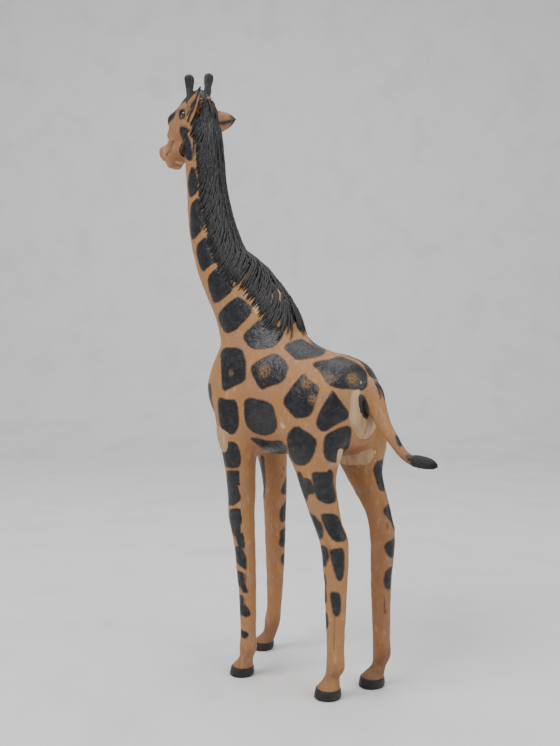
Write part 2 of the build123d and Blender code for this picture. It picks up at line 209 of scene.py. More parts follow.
# ---------------------------------------------------------------- lattice and skin
class Lattice:
    """A block of evenly spaced points with a distance field on it."""

    def __init__(self, low: Array, high: Array, cell: float) -> None:
        """Lay out the block.

        Args:
            low: lowest corner, in millimetres.
            high: highest corner.
            cell: spacing of the points.
        """
        self.low = np.floor(np.asarray(low) / cell) * cell
        self.cell = cell
        self.shape = tuple(int(n) for n in np.ceil((np.asarray(high) - self.low) / cell) + 1)
        self.values = np.full(self.shape, FAR, np.float32)

    def points(self, start: Array, stop: Array) -> Array:
        """Places of the points in an index range, as rows."""
        axes = [self.low[k] + self.cell * np.arange(start[k], stop[k]) for k in range(3)]
        grid = np.meshgrid(*axes, indexing="ij")
        return np.stack([g.ravel() for g in grid], axis=1)

    def join(self, measure: Callable[[Array], Array], box: tuple[Array, Array], width: float) -> None:
        """Blend a shape into the field.

        Args:
            measure: the shape's distance function.
            box: the region to work in.
            width: width of the fillet where it meets what is there already.
        """
        start = np.maximum(((box[0] - self.low) / self.cell).astype(int), 0)
        stop = np.minimum(((box[1] - self.low) / self.cell).astype(int) + 2, self.shape)
        part = tuple(slice(a, b) for a, b in zip(start, stop))
        added = measure(self.points(start, stop)).reshape(stop - start)
        self.values[part] = blend(self.values[part], added.astype(np.float32), width)

    def read(self, points: Array) -> Array:
        """The field at any points, by trilinear mixing."""
        place = (points - self.low) / self.cell
        cell = np.clip(np.floor(place).astype(int), 0, np.array(self.shape) - 2)
        share = place - cell
        total = np.zeros(len(points))
        for dx in (0, 1):
            for dy in (0, 1):
                for dz in (0, 1):
                    weight = np.abs(1 - dx - share[:, 0])
                    weight = weight * np.abs(1 - dy - share[:, 1]) * np.abs(1 - dz - share[:, 2])
                    total += weight * self.values[cell[:, 0] + dx, cell[:, 1] + dy, cell[:, 2] + dz]
        return total

    def slope(self, points: Array) -> Array:
        """Unit direction in which the field grows, at any points."""
        step = self.cell * 0.75
        rise = np.stack(
            [
                self.read(
                    points + np.eye(3)[k] * step
                ) - self.read(points - np.eye(3)[k] * step) for k in range(3)
            ],
            axis=1,
        )
        return rise / np.maximum(np.linalg.norm(rise, axis=1, keepdims=True), 1e-9)

    def skin(self) -> "Skin":
        """The surface where the field is zero, as even four-sided faces."""
        inside = self.values < 0
        count = np.zeros([n - 1 for n in self.shape], np.int8)
        corners = [(i, j, k) for i in (0, 1) for j in (0, 1) for k in (0, 1)]
        for i, j, k in corners:
            count += inside[
                i : self.shape[0] - 1 + i, j : self.shape[1] - 1 + j, k : self.shape[2] - 1 + k
            ]
        cells = np.argwhere((count > 0) & (count < 8))
        number = np.full(count.shape, -1, np.int32)
        number[tuple(cells.T)] = np.arange(len(cells))
        place = np.zeros((len(cells), 3))
        crossings = np.zeros(len(cells))
        for first in corners:
            for axis in range(3):
                if first[axis]:
                    continue
                second = tuple(first[k] + (k == axis) for k in range(3))
                here = self.values[tuple((cells + first).T)].astype(float)
                there = self.values[tuple((cells + second).T)].astype(float)
                crossed = (here < 0) != (there < 0)
                share = here[crossed] / (here[crossed] - there[crossed])
                place[crossed] += np.array(first) + share[:, None] * np.eye(3)[axis]
                crossings[crossed] += 1
        points = self.low + self.cell * (cells + place / crossings[:, None])
        faces = [self._walls(inside, number, axis) for axis in range(3)]
        skin = Skin(points, np.vstack(faces))
        for _ in range(3):
            skin.points = skin.relaxed(0.5)
            skin.points -= self.slope(skin.points) * self.read(skin.points)[:, None]
        return skin

    def _walls(self, inside: Array, number: Array, axis: int) -> Array:
        """Faces across the lattice edges that run along one axis."""
        one, two = [k for k in range(3) if k != axis]
        if axis == 1:
            one, two = two, one
        low = [slice(None)] * 3
        high = [slice(None)] * 3
        low[axis] = slice(0, -1)
        high[axis] = slice(1, None)
        below = inside[tuple(low)]
        above = inside[tuple(high)]
        edges = np.argwhere(below != above)
        edges = edges[(edges[:, one] > 0) & (edges[:, two] > 0)]
        edges = edges[(edges[:, one] < number.shape[one]) & (edges[:, two] < number.shape[two])]
        ring = []
        for a, b in ((1, 1), (0, 1), (0, 0), (1, 0)):
            step = np.zeros(3, int)
            step[one] = a
            step[two] = b
            ring.append(number[tuple((edges - step).T)])
        faces = np.stack(ring, axis=1)
        leaving = below[tuple(edges.T)]
        faces[~leaving] = faces[~leaving][:, ::-1]
        return faces


class Skin:
    """A surface of four-sided faces, in millimetres."""

    def __init__(self, points: Array, faces: Array) -> None:
        """Keep the points and the faces.

        Args:
            points: one row for each corner point.
            faces: four point numbers for each face, anticlockwise seen from outside.
        """
        self.points = points
        self.faces = faces

    def relaxed(self, amount: float) -> Array:
        """The points, each moved a share of the way to the middle of its neighbours."""
        total = np.zeros_like(self.points)
        number = np.zeros(len(self.points))
        for k in range(4):
            start, end = self.faces[:, k], self.faces[:, (k + 1) % 4]
            for a, b in ((start, end), (end, start)):
                for c in range(3):
                    total[:, c] += np.bincount(a, self.points[b, c], len(self.points))
                number += np.bincount(a, minlength=len(self.points))
        middle = total / np.maximum(number, 1)[:, None]
        return self.points * (1 - amount) + middle * amount

    def normals(self) -> Array:
        """Unit normal at each point, from the faces around it."""
        corner = self.points[self.faces]
        across = np.cross(corner[:, 2] - corner[:, 0], corner[:, 3] - corner[:, 1])
        total = np.zeros_like(self.points)
        for k in range(4):
            for c in range(3):
                total[:, c] += np.bincount(self.faces[:, k], across[:, c], len(self.points))
        return total / np.maximum(np.linalg.norm(total, axis=1, keepdims=True), 1e-12)


# ---------------------------------------------------------------- simple solids
Measure = Callable[[Array], Array]
Box = tuple[Array, Array]


def ball(centre: Point, radius: float) -> tuple[Measure, Box]:
    """Distance function and box of a ball."""
    middle = np.array(centre)
    reach = radius + 12.0
    return (lambda p: np.linalg.norm(p - middle, axis=1) - radius), (middle - reach, middle + reach)


def bar(start: Point, end: Point, radius: float, end_radius: float) -> tuple[Measure, Box]:
    """Distance function and box of a round-ended bar that may taper."""
    a, b = np.array(start), np.array(end)

    def measure(points: Array) -> Array:
        """Distance to the bar's skin."""
        share = np.clip((points - a) @ (b - a) / ((b - a) @ (b - a)), 0, 1)
        nearest = a + share[:, None] * (b - a)
        return np.linalg.norm(points - nearest, axis=1) - (radius + share * (end_radius - radius))

    reach = max(radius, end_radius) + 12.0
    return measure, (np.minimum(a, b) - reach, np.maximum(a, b) + reach)


def hoop(centre: Point, axis: Point, radius: float, tube: float) -> tuple[Measure, Box]:
    """Distance function and box of a ring."""
    middle = np.array(centre)
    line = np.array(axis) / np.linalg.norm(axis)

    def measure(points: Array) -> Array:
        """Distance to the ring's skin."""
        offset = points - middle
        along = offset @ line
        out = np.linalg.norm(offset - along[:, None] * line, axis=1)
        return np.hypot(out - radius, along) - tube

    reach = radius + tube + 8.0
    return measure, (middle - reach, middle + reach)


# ---------------------------------------------------------------- the figure's lines
CHEST_Y = -94.0  # where the chest starts, in the figure's own layout about its middle plane
TORSO_LOW, TORSO_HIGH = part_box("torso_hide")
SHIFT = np.array([(TORSO_LOW.x + TORSO_HIGH.x) / 2 / MM, TORSO_LOW.y / MM - CHEST_Y, 0.0])
HOOF_TOP = 9.0
BELLY = 222.0


@dataclass(frozen=True)
class Leg:
    """One leg: where its foot stands, its sole and its sections going up.

    Each section is: share of the way from the hoof's top to the belly line, offset from the
    foot in x and y, half width, half depth.
    """

    name: str
    x: float
    y: float
    sole: tuple[float, float]
    sections: tuple[tuple[float, float, float, float, float], ...]

    def limb(self) -> Limb:
        """The leg's limb, let down a little into its hoof."""
        rise = BELLY - HOOF_TOP
        rows = [
            Station(self.x + dx, self.y + dy, HOOF_TOP + share * rise, wide, deep)
            for share, dx, dy, wide, deep in self.sections
        ]
        return Limb([replace(rows[0], z=HOOF_TOP - 2.0), *rows], level=True)


LEGS = (
    Leg(
        "front_left",
        32.0,
        -32.0,
        (12.2, 12.0),
        (
            (0.000, 0.0, 1.5, 9.8, 10.6),
            (0.046, 1.0, 7.0, 6.8, 7.6),
            (0.098, 1.5, 10.0, 7.9, 8.8),
            (0.166, 0.0, 9.0, 7.2, 8.0),
            (0.250, -1.4, 7.3, 7.8, 8.5),
            (0.333, -2.7, 5.5, 8.4, 9.0),
            (0.437, -3.6, 3.0, 8.8, 10.2),
            (0.541, -4.5, 0.5, 9.2, 11.4),
            (0.687, -5.0, -4.5, 12.0, 13.9),
            (0.792, -4.5, -4.0, 12.9, 14.5),
            (0.948, -4.0, -6.0, 15.3, 17.0),
            (1.136, -5.0, -10.0, 16.5, 25.0),
            (1.310, -10.0, -13.0, 11.0, 20.0),
        ),
    ),
    Leg(
        "front_right",
        -36.0,
        -62.0,
        (11.6, 11.0),
        (
            (0.000, 0.5, 2.0, 10.0, 10.6),
            (0.046, -0.7, 9.0, 6.9, 7.6),
            (0.108, -1.2, 12.5, 7.7, 9.0),
            (0.177, -1.3, 14.5, 7.2, 8.0),
            (0.255, -2.8, 14.3, 7.8, 9.0),
            (0.333, -4.2, 14.0, 8.4, 10.0),
            (0.437, -4.8, 13.5, 9.3, 10.8),
            (0.541, -5.3, 13.0, 10.3, 11.6),
            (0.687, -5.4, 12.5, 12.3, 12.4),
            (0.792, -5.4, 12.5, 12.7, 13.2),
            (0.948, -2.5, 11.0, 14.6, 17.0),
            (1.136, 2.6, 6.5, 16.2, 25.5),
            (1.310, 13.0, 4.0, 11.0, 20.0),
        ),
    ),
    Leg(
        "hind_left",
        23.0,
        66.5,
        (13.0, 12.4),
        (
            (0.000, 0.0, 1.0, 10.2, 11.0),
            (0.046, -1.0, 4.5, 6.4, 7.2),
            (0.098, 0.0, 9.0, 7.2, 9.2),
            (0.166, 0.0, 9.0, 7.0, 8.4),
            (0.245, -0.1, 9.0, 7.7, 9.1),
            (0.323, -0.2, 9.0, 8.4, 9.8),
            (0.400, -0.3, 9.0, 8.9, 10.7),
            (0.480, -0.4, 9.0, 9.4, 11.6),
            (0.635, -0.4, 7.0, 10.4, 14.6),
            (0.740, 2.4, -0.5, 10.0, 16.0),
            (0.917, 6.0, -8.5, 12.8, 20.8),
            (1.083, 5.0, -12.5, 17.6, 32.5),
            (1.265, 0.0, -15.0, 14.0, 27.0),
        ),
    ),
    Leg(
        "hind_right",
        -26.0,
        83.5,
        (13.6, 12.0),
        (
            (0.000, 0.0, 1.0, 10.4, 10.8),
            (0.050, -3.5, 6.0, 6.4, 7.2),
            (0.108, -2.0, 10.0, 7.4, 9.0),
            (0.177, -1.4, 10.0, 7.2, 8.3),
            (0.250, -1.2, 10.0, 7.6, 8.9),
            (0.323, -1.0, 10.0, 8.0, 9.4),
            (0.400, -0.5, 10.5, 8.5, 10.1),
            (0.480, 0.0, 11.0, 8.9, 10.8),
            (0.645, 0.0, 12.0, 9.8, 12.6),
            (0.750, -1.6, 5.5, 9.0, 14.0),
            (0.917, -1.0, -11.0, 12.2, 21.0),
            (1.083, 0.4, -17.0, 16.8, 33.5),
            (1.265, 3.6, -20.0, 14.0, 27.0),
        ),
    ),
)


@dataclass(frozen=True)
class Trunk:
    """The lines of the body, the neck, the head, the tail and the mane, in millimetres."""

    body_length: float = 193.0
    half_width: float = 42.0
    half_height: float = 60.0
    neck_rise: float = 272.0
    neck_reach: float = 96.0
    head_length: float = 75.0
    mane_half_width: float = 12.0
    mane_half_depth: float = 14.0
    mane_proud: float = 2.6

    def torso(self) -> Limb:
        """The barrel, from chest to rump."""
        shares = (
            (0.00, 63, 0.21, 0.17),
            (0.05, 63, 0.62, 0.54),
            (0.16, 62, 0.84, 0.87),
            (0.33, 58, 0.94, 1.02),
            (0.53, 54, 0.98, 0.96),
            (0.72, 50, 1.00, 0.84),
            (0.86, 50, 0.98, 0.76),
            (0.95, 52, 0.78, 0.62),
            (1.00, 52, 0.36, 0.26),
        )
        return Limb(
            [
                Station(
                    0, CHEST_Y + s * self.body_length, BELLY + up, w * self.half_width, d * self.half_height
                )
                for s, up, w, d in shares
            ]
        )

    def neck_stations(self) -> list[Station]:
        """Sections of the neck, from its root to its top."""
        shares = (
            (0.00, 0.00, 34.0, 59.0),
            (0.15, 0.11, 28.5, 50.0),
            (0.28, 0.32, 23.6, 41.0),
            (0.40, 0.61, 21.5, 31.5),
            (0.52, 0.77, 20.0, 28.5),
            (0.63, 0.86, 17.5, 26.5),
            (0.74, 0.91, 16.0, 24.0),
            (0.85, 0.94, 15.8, 23.5),
            (0.94, 0.98, 15.0, 24.0),
            (1.00, 1.00, 11.0, 17.0),
        )
        root_y = CHEST_Y + 0.35 * self.body_length
        root_z = BELLY + 78
        return [
            Station(0, root_y - reach * self.neck_reach, root_z + rise * self.neck_rise, w, d)
            for rise, reach, w, d in shares
        ]

    def poll(self) -> Array:
        """The top of the skull's back, where the head starts."""
        top = self.neck_stations()[-1]
        return np.array([0.0, top.y + 9, top.z + 20])

    def head(self) -> Limb:
        """The skull, from the poll to the lip."""
        poll = self.poll()
        shares = (
            (-0.06, -0.03, 5.0, 16.0),
            (0.00, 0.00, 11.0, 24.0),
            (0.20, 0.12, 16.5, 27.0),
            (0.39, 0.30, 16.4, 21.5),
            (0.56, 0.50, 13.5, 14.5),
            (0.64, 0.65, 12.5, 12.5),
            (0.66, 0.76, 6.0, 6.0),
        )
        length = self.head_length
        return Limb(
            [
                Station(
                    0, poll[1] - ahead * length, poll[2] - below * length, w, d
                ) for ahead, below, w, d in shares
            ]
        )

    def on_head(self, left: float, forwards: float, up: float) -> Point:
        """Place measured from the middle of the brow."""
        poll = self.poll()
        return (left, poll[1] - 0.20 * self.head_length - forwards, poll[2] - 0.12 * self.head_length + up)

    def tail(self) -> Limb:
        """The tail, from inside the rump to its tuft."""
        root_y, root_z = CHEST_Y + self.body_length, BELLY + 52
        shares = (
            (-14.0, 18.0, 7.0),
            (0.0, 11.0, 9.2),
            (6.5, -3.0, 8.8),
            (13.0, -19.0, 7.0),
            (23.0, -33.0, 5.4),
            (33.0, -45.5, 4.5),
            (41.0, -51.0, 4.6),
            (47.0, -52.0, 5.0),
        )
        return Limb([Station(0, root_y + back, root_z + up, r, r) for back, up, r in shares])

    def mane(self) -> Limb:
        """The mane's ridge, from the withers to the crown."""
        neck = self.neck_stations()
        line = np.array([[s.y, s.z] for s in neck])
        along = np.gradient(line, axis=0)
        along /= np.linalg.norm(along, axis=1, keepdims=True)
        behind = np.stack([along[:, 1], -along[:, 0]], axis=1)
        foot = line[1] + behind[1] * (neck[1].half_depth - 4) + np.array([3, -14])
        stations = [Station(0, foot[0], foot[1], 2.5, 5.0)]
        for i, share in zip(range(1, 9), (0.55, 0.8, 1.0, 1.1, 1.1, 1.1, 1.1, 1.05)):
            middle = line[i] + behind[i] * (neck[i].half_depth + self.mane_proud - self.mane_half_depth)
            wide = share * self.mane_half_width
            stations.append(Station(0, middle[0], middle[1], wide, self.mane_half_depth))
        poll = self.poll()
        stations.append(Station(0, poll[1] - 2, poll[2] - 4, 0.95 * self.mane_half_width, 11.0))
        stations.append(Station(0, poll[1] - 9, poll[2] + 14, 0.55 * self.mane_half_width, 6.0))
        return Limb(stations)


# ---------------------------------------------------------------- skin work
@dataclass(frozen=True)
class Patch:
    """One painted patch, as its outline seen level from one side of the figure.

    The view is turned by a number of degrees from the left side towards the back. Each corner
    is its place across that view and its height, in millimetres.
    """

    limbs: tuple[str, ...]
    corners: tuple[tuple[float, float], ...]
    turn: float = 40.0
    mirrored: bool = False

    def on_right(self, limbs: tuple[str, ...], along: float = 0.0, up: float = 0.0) -> "Patch":
        """The same patch on the figure's other side, moved along and up a little."""
        moved = tuple((u + along, z + up) for u, z in self.corners)
        return replace(self, limbs=limbs, corners=moved, mirrored=True)

    def outline(self) -> Array:
        """The corners with their points rounded off."""
        rows = np.array(self.corners, float)
        for _ in range(2):
            after = np.roll(rows, -1, axis=0)
            rows = np.stack([rows * 0.8 + after * 0.2, rows * 0.2 + after * 0.8], axis=1).reshape(-1, 2)
        return rows

    def distance(self, points: Array, normals: Array) -> Array:
        """Distance from each skin point to the patch's edge, negative inside it.

        Args:
            points: skin points, in millimetres.
            normals: their unit normals.

        Returns:
            One distance for each point; points that face away are far off.
        """
        side = -1.0 if self.mirrored else 1.0
        c, s = math.cos(math.radians(self.turn)), math.sin(math.radians(self.turn))
        across = points[:, 1] * c - side * points[:, 0] * s
        facing = normals @ np.array([side * c, s, 0.0])
        place = np.stack([across, points[:, 2]], axis=1)
        rows = self.outline()
        result = np.full(len(points), FAR)
        low, high = rows.min(axis=0) - 6, rows.max(axis=0) + 6
        near = np.flatnonzero((facing > 0.12) & (place > low).all(axis=1) & (place < high).all(axis=1))
        if len(near) == 0:
            return result
        at = place[near]
        best = np.full(len(near), FAR)
        inside = np.zeros(len(near), bool)
        for a, b in zip(rows, np.roll(rows, -1, axis=0)):
            edge = b - a
            share = np.clip((at - a) @ edge / max(edge @ edge, 1e-9), 0, 1)
            best = np.minimum(best, np.linalg.norm(at - a - share[:, None] * edge, axis=1))
            if a[1] != b[1]:
                straddles = (a[1] > at[:, 1]) != (b[1] > at[:, 1])
                crossing = a[0] + (at[:, 1] - a[1]) / (b[1] - a[1]) * edge[0]
                inside ^= straddles & (at[:, 0] < crossing)
        result[near] = np.where(inside, -best, best)
        return result


@dataclass(frozen=True)
class Crease:
    """A fold in the leather, drawn along a line of places near the skin."""

    line: tuple[Point, ...]
    width: float = 1.2
    depth: float = 0.7

    def height(self, points: Array) -> Array:
        """What the crease adds to the skin's height at each point."""
        rows = smooth_line(np.array(self.line, float), 4)
        best = np.full(len(points), FAR)
        reach = 5 * self.width
        near = np.flatnonzero(
            ((points > rows.min(axis=0) - reach) & (points < rows.max(axis=0) + reach)).all(axis=1)
        )
        if len(near) == 0:
            return np.zeros(len(points))
        at = points[near]
        gap = np.full(len(near), FAR)
        for a, b in zip(rows[:-1], rows[1:]):
            share = np.clip((at - a) @ (b - a) / max((b - a) @ (b - a), 1e-9), 0, 1)
            gap = np.minimum(gap, np.linalg.norm(at - a - share[:, None] * (b - a), axis=1))
        best[near] = gap
        groove = -self.depth * np.exp(-((best / self.width) ** 2))
        lips = 0.45 * self.depth * np.exp(-(((best - 2 * self.width) / self.width) ** 2))
        return groove + lips


def mesh_object(name: str, points: Array, faces: Sequence, material: bpy.types.Material) -> bpy.types.Object:
    """Make a smooth-shaded piece from points in the figure's layout.

    Args:
        name: the piece's name.
        points: rows of millimetres in the figure's own layout.
        faces: point numbers of each face, or an edge list if they come in pairs.
        material: what it is dressed in.

    Returns:
        The new object, linked to the scene, with its place in its mesh.
    """
    mesh = bpy.data.meshes.new(name)
    rows = ((np.asarray(points) + SHIFT) * MM).tolist()
    corners = [list(map(int, f)) for f in faces]
    if len(corners[0]) == 2:
        mesh.from_pydata(rows, corners, [])
    else:
        mesh.from_pydata(rows, [], corners)
    mesh.polygons.foreach_set("use_smooth", np.ones(len(mesh.polygons), bool))
    mesh.materials.append(material)
    piece = bpy.data.objects.new(name, mesh)
    bpy.context.scene.collection.objects.link(piece)
    return piece


def set_values(piece: bpy.types.Object, name: str, values: Array) -> None:
    """Store one number for each point of a piece, for its material to read."""
    piece.data.attributes.new(name, "FLOAT", "POINT").data.foreach_set("value", values.astype(np.float32))


def declare(piece: bpy.types.Object, slot: str, *nodes: str) -> None:
    """Attach a finished piece to the root and hide the CAD parts that it stands for."""
    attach(piece, "root")
    if nodes:
        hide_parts(*nodes)
    log.info("%s: %d faces", piece.name, len(piece.data.polygons))


def shell(
    name: str, skin: Skin, chosen: Array, values: dict[str, Array], material: bpy.types.Material
) -> bpy.types.Object:
    """Cut some faces out of a skin and give them the thickness of the leather.

    Args:
        name: the piece's name.
        skin: the skin that the faces come from.
        chosen: True for each face that is wanted.
        values: numbers for each of the skin's points, by name.
        material: what the piece is dressed in.

    Returns:
        The closed piece.
    """
    faces = skin.faces[chosen]
    used, renumbered = np.unique(faces, return_inverse=True)
    outer = renumbered.reshape(-1, 4)
    count = len(used)
    normals = skin.normals()[used]
    points = skin.points[used]
    edges = np.vstack([outer[:, [k, (k + 1) % 4]] for k in range(4)])
    forward = edges[:, 0] * count + edges[:, 1]
    backward = edges[:, 1] * count + edges[:, 0]
    open_edges = edges[~np.isin(forward, backward)]
    a, b = open_edges[:, 0], open_edges[:, 1]
    rim = np.stack([b, a, a + count, b + count], axis=1)
    all_faces = np.vstack([outer, outer[:, ::-1] + count, rim])
    piece = mesh_object(name, np.vstack([points, points - normals * HIDE]), all_faces, material)
    for key, numbers in values.items():
        set_values(piece, key, np.tile(numbers[used], 2))
    piece.data.normals_split_custom_set_from_vertices(np.vstack([normals, -normals]).tolist())
    return piece


# ---------------------------------------------------------------- shader maths and finishes
Colour = tuple[float, float, float]


class Value:
    """A shader number that adds Math nodes when it is used in an expression."""

    def __init__(self, sheet: "Shader", socket: bpy.types.NodeSocket) -> None:
        """Wrap one output socket."""
        self.sheet = sheet
        self.socket = socket

    def _math(self, operation: str, *others: "Value | float") -> "Value":
        """A Math node on this value and others."""
        sockets = {0: self, **{i + 1: other for i, other in enumerate(others)}}
        return self.sheet.value("ShaderNodeMath", {"operation": operation}, sockets)

    def __add__(self, other: "Value | float") -> "Value":
        """Sum."""
        return self._math("ADD", other)

    __radd__ = __add__

    def __mul__(self, other: "Value | float") -> "Value":
        """Product."""
        return self._math("MULTIPLY", other)

    __rmul__ = __mul__

    def __sub__(self, other: "Value | float") -> "Value":
        """Difference."""
        return self._math("SUBTRACT", other)

    def __rsub__(self, other: float) -> "Value":
        """A number minus this."""
        return (self * -1.0) + other

    def __truediv__(self, other: "Value | float") -> "Value":
        """Quotient."""
        return self._math("DIVIDE", other)

    def __pow__(self, other: float) -> "Value":
        """Power."""
        return self._math("POWER", other)

    def fade(self, start: float, end: float) -> "Value":
        """Smooth step from 0 at start to 1 at end; start may be the larger."""
        flip = start > end
        low, high = min(start, end), max(start, end)
        settings = {"interpolation_type": "SMOOTHSTEP"}
        stepped = self.sheet.value("ShaderNodeMapRange", settings, {0: self, 1: low, 2: high})
        return 1.0 - stepped if flip else stepped


class Shader:
    """One material's node tree, built from expressions."""

    def __init__(self, name: str) -> None:
        """Start an empty material."""
        self.material = bpy.data.materials.new(name)
        self.material.use_nodes = True
        self.tree = self.material.node_tree
        self.tree.nodes.clear()
        self.place = self.node("ShaderNodeTexCoord").outputs["Object"]

    def node(self, kind: str, settings: dict | None = None, sockets: dict | None = None) -> bpy.types.Node:
        """Add any node.

        Args:
            kind: the node's type.
            settings: its properties, set first.
            sockets: values, colours or links of its inputs, by name or number.

        Returns:
            The new node.
        """
        made = self.tree.nodes.new(kind)
        for key, setting in (settings or {}).items():
            setattr(made, key, setting)
        for key, given in (sockets or {}).items():
            if isinstance(given, Value):
                given = given.socket
            if isinstance(given, bpy.types.NodeSocket):
                self.tree.links.new(given, made.inputs[key])
            else:
                made.inputs[key].default_value = given
        return made

    def value(
        self, kind: str, settings: dict | None = None, sockets: dict | None = None, output: int = 0
    ) -> Value:
        """Add a node and wrap one of its outputs."""
        return Value(self, self.node(kind, settings, sockets).outputs[output])

    def noise(
        self, size: float, detail: float = 3.0, rough: float = 0.55, stretch: Point = (1, 1, 1)
    ) -> Value:
        """Cloudy pattern from 0 to 1 with lumps of a size in millimetres, stretched along the axes."""
        scale = tuple(1 / (MM * size * s) for s in stretch)
        spread = self.node("ShaderNodeMapping", {}, {"Vector": self.place, "Scale": scale})
        sockets = {"Vector": spread.outputs[0], "Scale": 1.0, "Detail": detail, "Roughness": rough}
        return self.value("ShaderNodeTexNoise", {}, sockets)

    def cells(self, size: float, feature: str = "F1", stretch: Point = (1, 1, 1)) -> Value:
        """Distances in a pattern of cells of a size in millimetres."""
        scale = tuple(1 / (MM * size * s) for s in stretch)
        spread = self.node("ShaderNodeMapping", {}, {"Vector": self.place, "Scale": scale})
        sockets = {"Vector": spread.outputs[0], "Scale": 1.0}
        return self.value("ShaderNodeTexVoronoi", {"feature": feature}, sockets)

    def attribute(self, name: str) -> Value:
        """A number stored on the piece's points."""
        return self.value("ShaderNodeAttribute", {"attribute_name": name}, {}, 2)

    def mix(self, share: Value | float, first: object, second: object) -> bpy.types.NodeSocket:
        """Mix two colours, each a link or a plain colour."""
        ends = [(*end, 1.0) if isinstance(end, tuple) else end for end in (first, second)]
        sockets = {0: share, 6: ends[0], 7: ends[1]}
        return self.node("ShaderNodeMix", {"data_type": "RGBA"}, sockets).outputs[2]

    def bump(
        self, height: Value, depth: float, under: bpy.types.NodeSocket | None = None
    ) -> bpy.types.NodeSocket:
        """Normals for a height pattern of a depth in millimetres, over any earlier bump."""
        sockets: dict = {"Height": height, "Strength": 1.0, "Distance": depth * MM}
        if under is not None:
            sockets["Normal"] = under
        return self.node("ShaderNodeBump", {}, sockets).outputs[0]

    def finish(
        self, colour: object, rough: object, normal: object = None, **fixed: float
    ) -> bpy.types.Material:
        """Close the tree with its surface shader.

        Args:
            colour: base colour, plain or linked.
            rough: roughness, plain or linked.
            normal: linked bump, if any.
            fixed: plain numbers for other sockets, with _ for each space.

        Returns:
            The finished material.
        """
        base = (*colour, 1.0) if isinstance(colour, tuple) else colour
        sockets: dict = {"Base Color": base, "Roughness": rough}
        if normal is not None:
            sockets["Normal"] = normal
        sockets.update({key.replace("_", " "): number for key, number in fixed.items()})
        surface = self.node("ShaderNodeBsdfPrincipled", {}, sockets)
        self.node("ShaderNodeOutputMaterial", {}, {"Surface": surface.outputs[0]})
        return self.material


@dataclass(frozen=True)
class HideFinish:
    """Thin oiled leather with glossy black painted patches, rubbed through in places, with painted shade on
    its undersides and in its creases.
    """

    name: str = "painted_hide"
    tan: Colour = (0.330, 0.162, 0.074)
    pale: Colour = (0.520, 0.300, 0.160)
    ochre: Colour = (0.370, 0.170, 0.050)
    umber: Colour = (0.130, 0.044, 0.020)
    ink: Colour = (0.0075, 0.0070, 0.0085)
    haze: Colour = (0.034, 0.035, 0.042)
    outline: Colour = (0.030, 0.012, 0.006)
    gold: Colour = (0.230, 0.120, 0.040)

    def material(self) -> bpy.types.Material:
        """Build the leather, reading the numbers stored on each point."""
        s = Shader(self.name)
        edge_drift = (s.noise(3.2, 3.0) - 0.5) * 1.6 + (s.noise(0.9, 2.0) - 0.5) * 0.7
        paint = s.attribute("paint") + edge_drift
        inside = paint.fade(0.25, -0.25)
        rim = paint.fade(1.5, 0.1) * (1.0 - inside)
        shade = s.attribute("shade")
        folds = s.attribute("folds")
        blotch = s.noise(17.0, 4.0, 0.6)
        streak = s.noise(5.0, 4.0, 0.62, (1, 1, 2.6))
        pores = s.noise(0.75, 2.0, 0.6)
        stain = s.noise(9.0, 5.0, 0.7)
        warm = s.mix(blotch.fade(0.36, 0.66), self.tan, self.ochre)
        light = s.mix(streak.fade(0.50, 0.80) * 0.75, warm, self.pale)
        # darkening towards umber: real stains and pores, plus painted shade from the shade numbers
        stain_and_shade = (shade * 0.75 + stain.fade(0.56, 0.78) * 0.38 + pores.fade(0.52, 0.70) * 0.16)
        # the folds numbers darken the creases: painted shade in the folds
        hide = s.mix((stain_and_shade + folds * 0.8).fade(0.0, 1.25), light, self.umber)
        hide = s.mix(rim * (0.55 + 0.35 * streak), hide, self.outline)
        rubbed = s.attribute("wear") * (s.noise(2.4, 4.0, 0.7) + s.noise(0.8, 2.0) * 0.35).fade(0.52, 0.76)
        black = s.mix(s.noise(7.0, 4.0, 0.65).fade(0.42, 0.78) * 0.75, self.ink, self.haze)
        black = s.mix(rubbed, black, self.gold)
        colour = s.mix(inside, hide, black)
        grain = s.cells(1.5) * 0.7 + s.noise(0.6, 2.0) * 0.3
        soft = s.noise(4.5, 3.0, 0.6)
        normal = s.bump(grain, 0.16)
        normal = s.bump(soft, 0.9, normal)
        normal = s.bump(inside * (1.0 - rubbed), 0.16, normal)
        gloss = 0.52 + 0.16 * s.noise(6.0, 3.0) - 0.10 * shade
        rough = gloss * (1.0 - inside) + (0.25 + 0.20 * s.noise(2.2, 3.0) + 0.2 * rubbed) * inside
        return s.finish(colour, rough, normal, Specular_IOR_Level=0.42)


@dataclass(frozen=True)
class BlackFinish:
    """Black paint on carved wood or leather, satin, dusty on its high places."""

    name: str
    ink: Colour = (0.0080, 0.0072, 0.0080)
    dust: Colour = (0.050, 0.049, 0.056)
    bare: Colour = (0.110, 0.048, 0.022)
    stretch: Point = (1, 1, 3)
    dusty: float = 0.7
    chipped: float = 0.35
    base_rough: float = 0.34

    def material(self) -> bpy.types.Material:
        """Build the paint."""
        s = Shader(self.name)
        strands = s.noise(1.3, 3.0, 0.6, self.stretch)
        cloud = s.noise(6.0, 4.0, 0.65)
        colour = s.mix((strands.fade(0.44, 0.75) * cloud.fade(0.3, 0.7)) * self.dusty, self.ink, self.dust)
        chips = (s.noise(3.4, 5.0, 0.75) + s.noise(0.7, 2.0) * 0.3).fade(0.80, 0.92) * self.chipped
        colour = s.mix(chips, colour, self.bare)
        normal = s.bump(strands, 0.5)
        normal = s.bump(s.noise(0.5, 2.0), 0.06, normal)
        rough = self.base_rough + 0.22 * cloud + 0.2 * chips
        return s.finish(colour, rough, normal, Specular_IOR_Level=0.45)


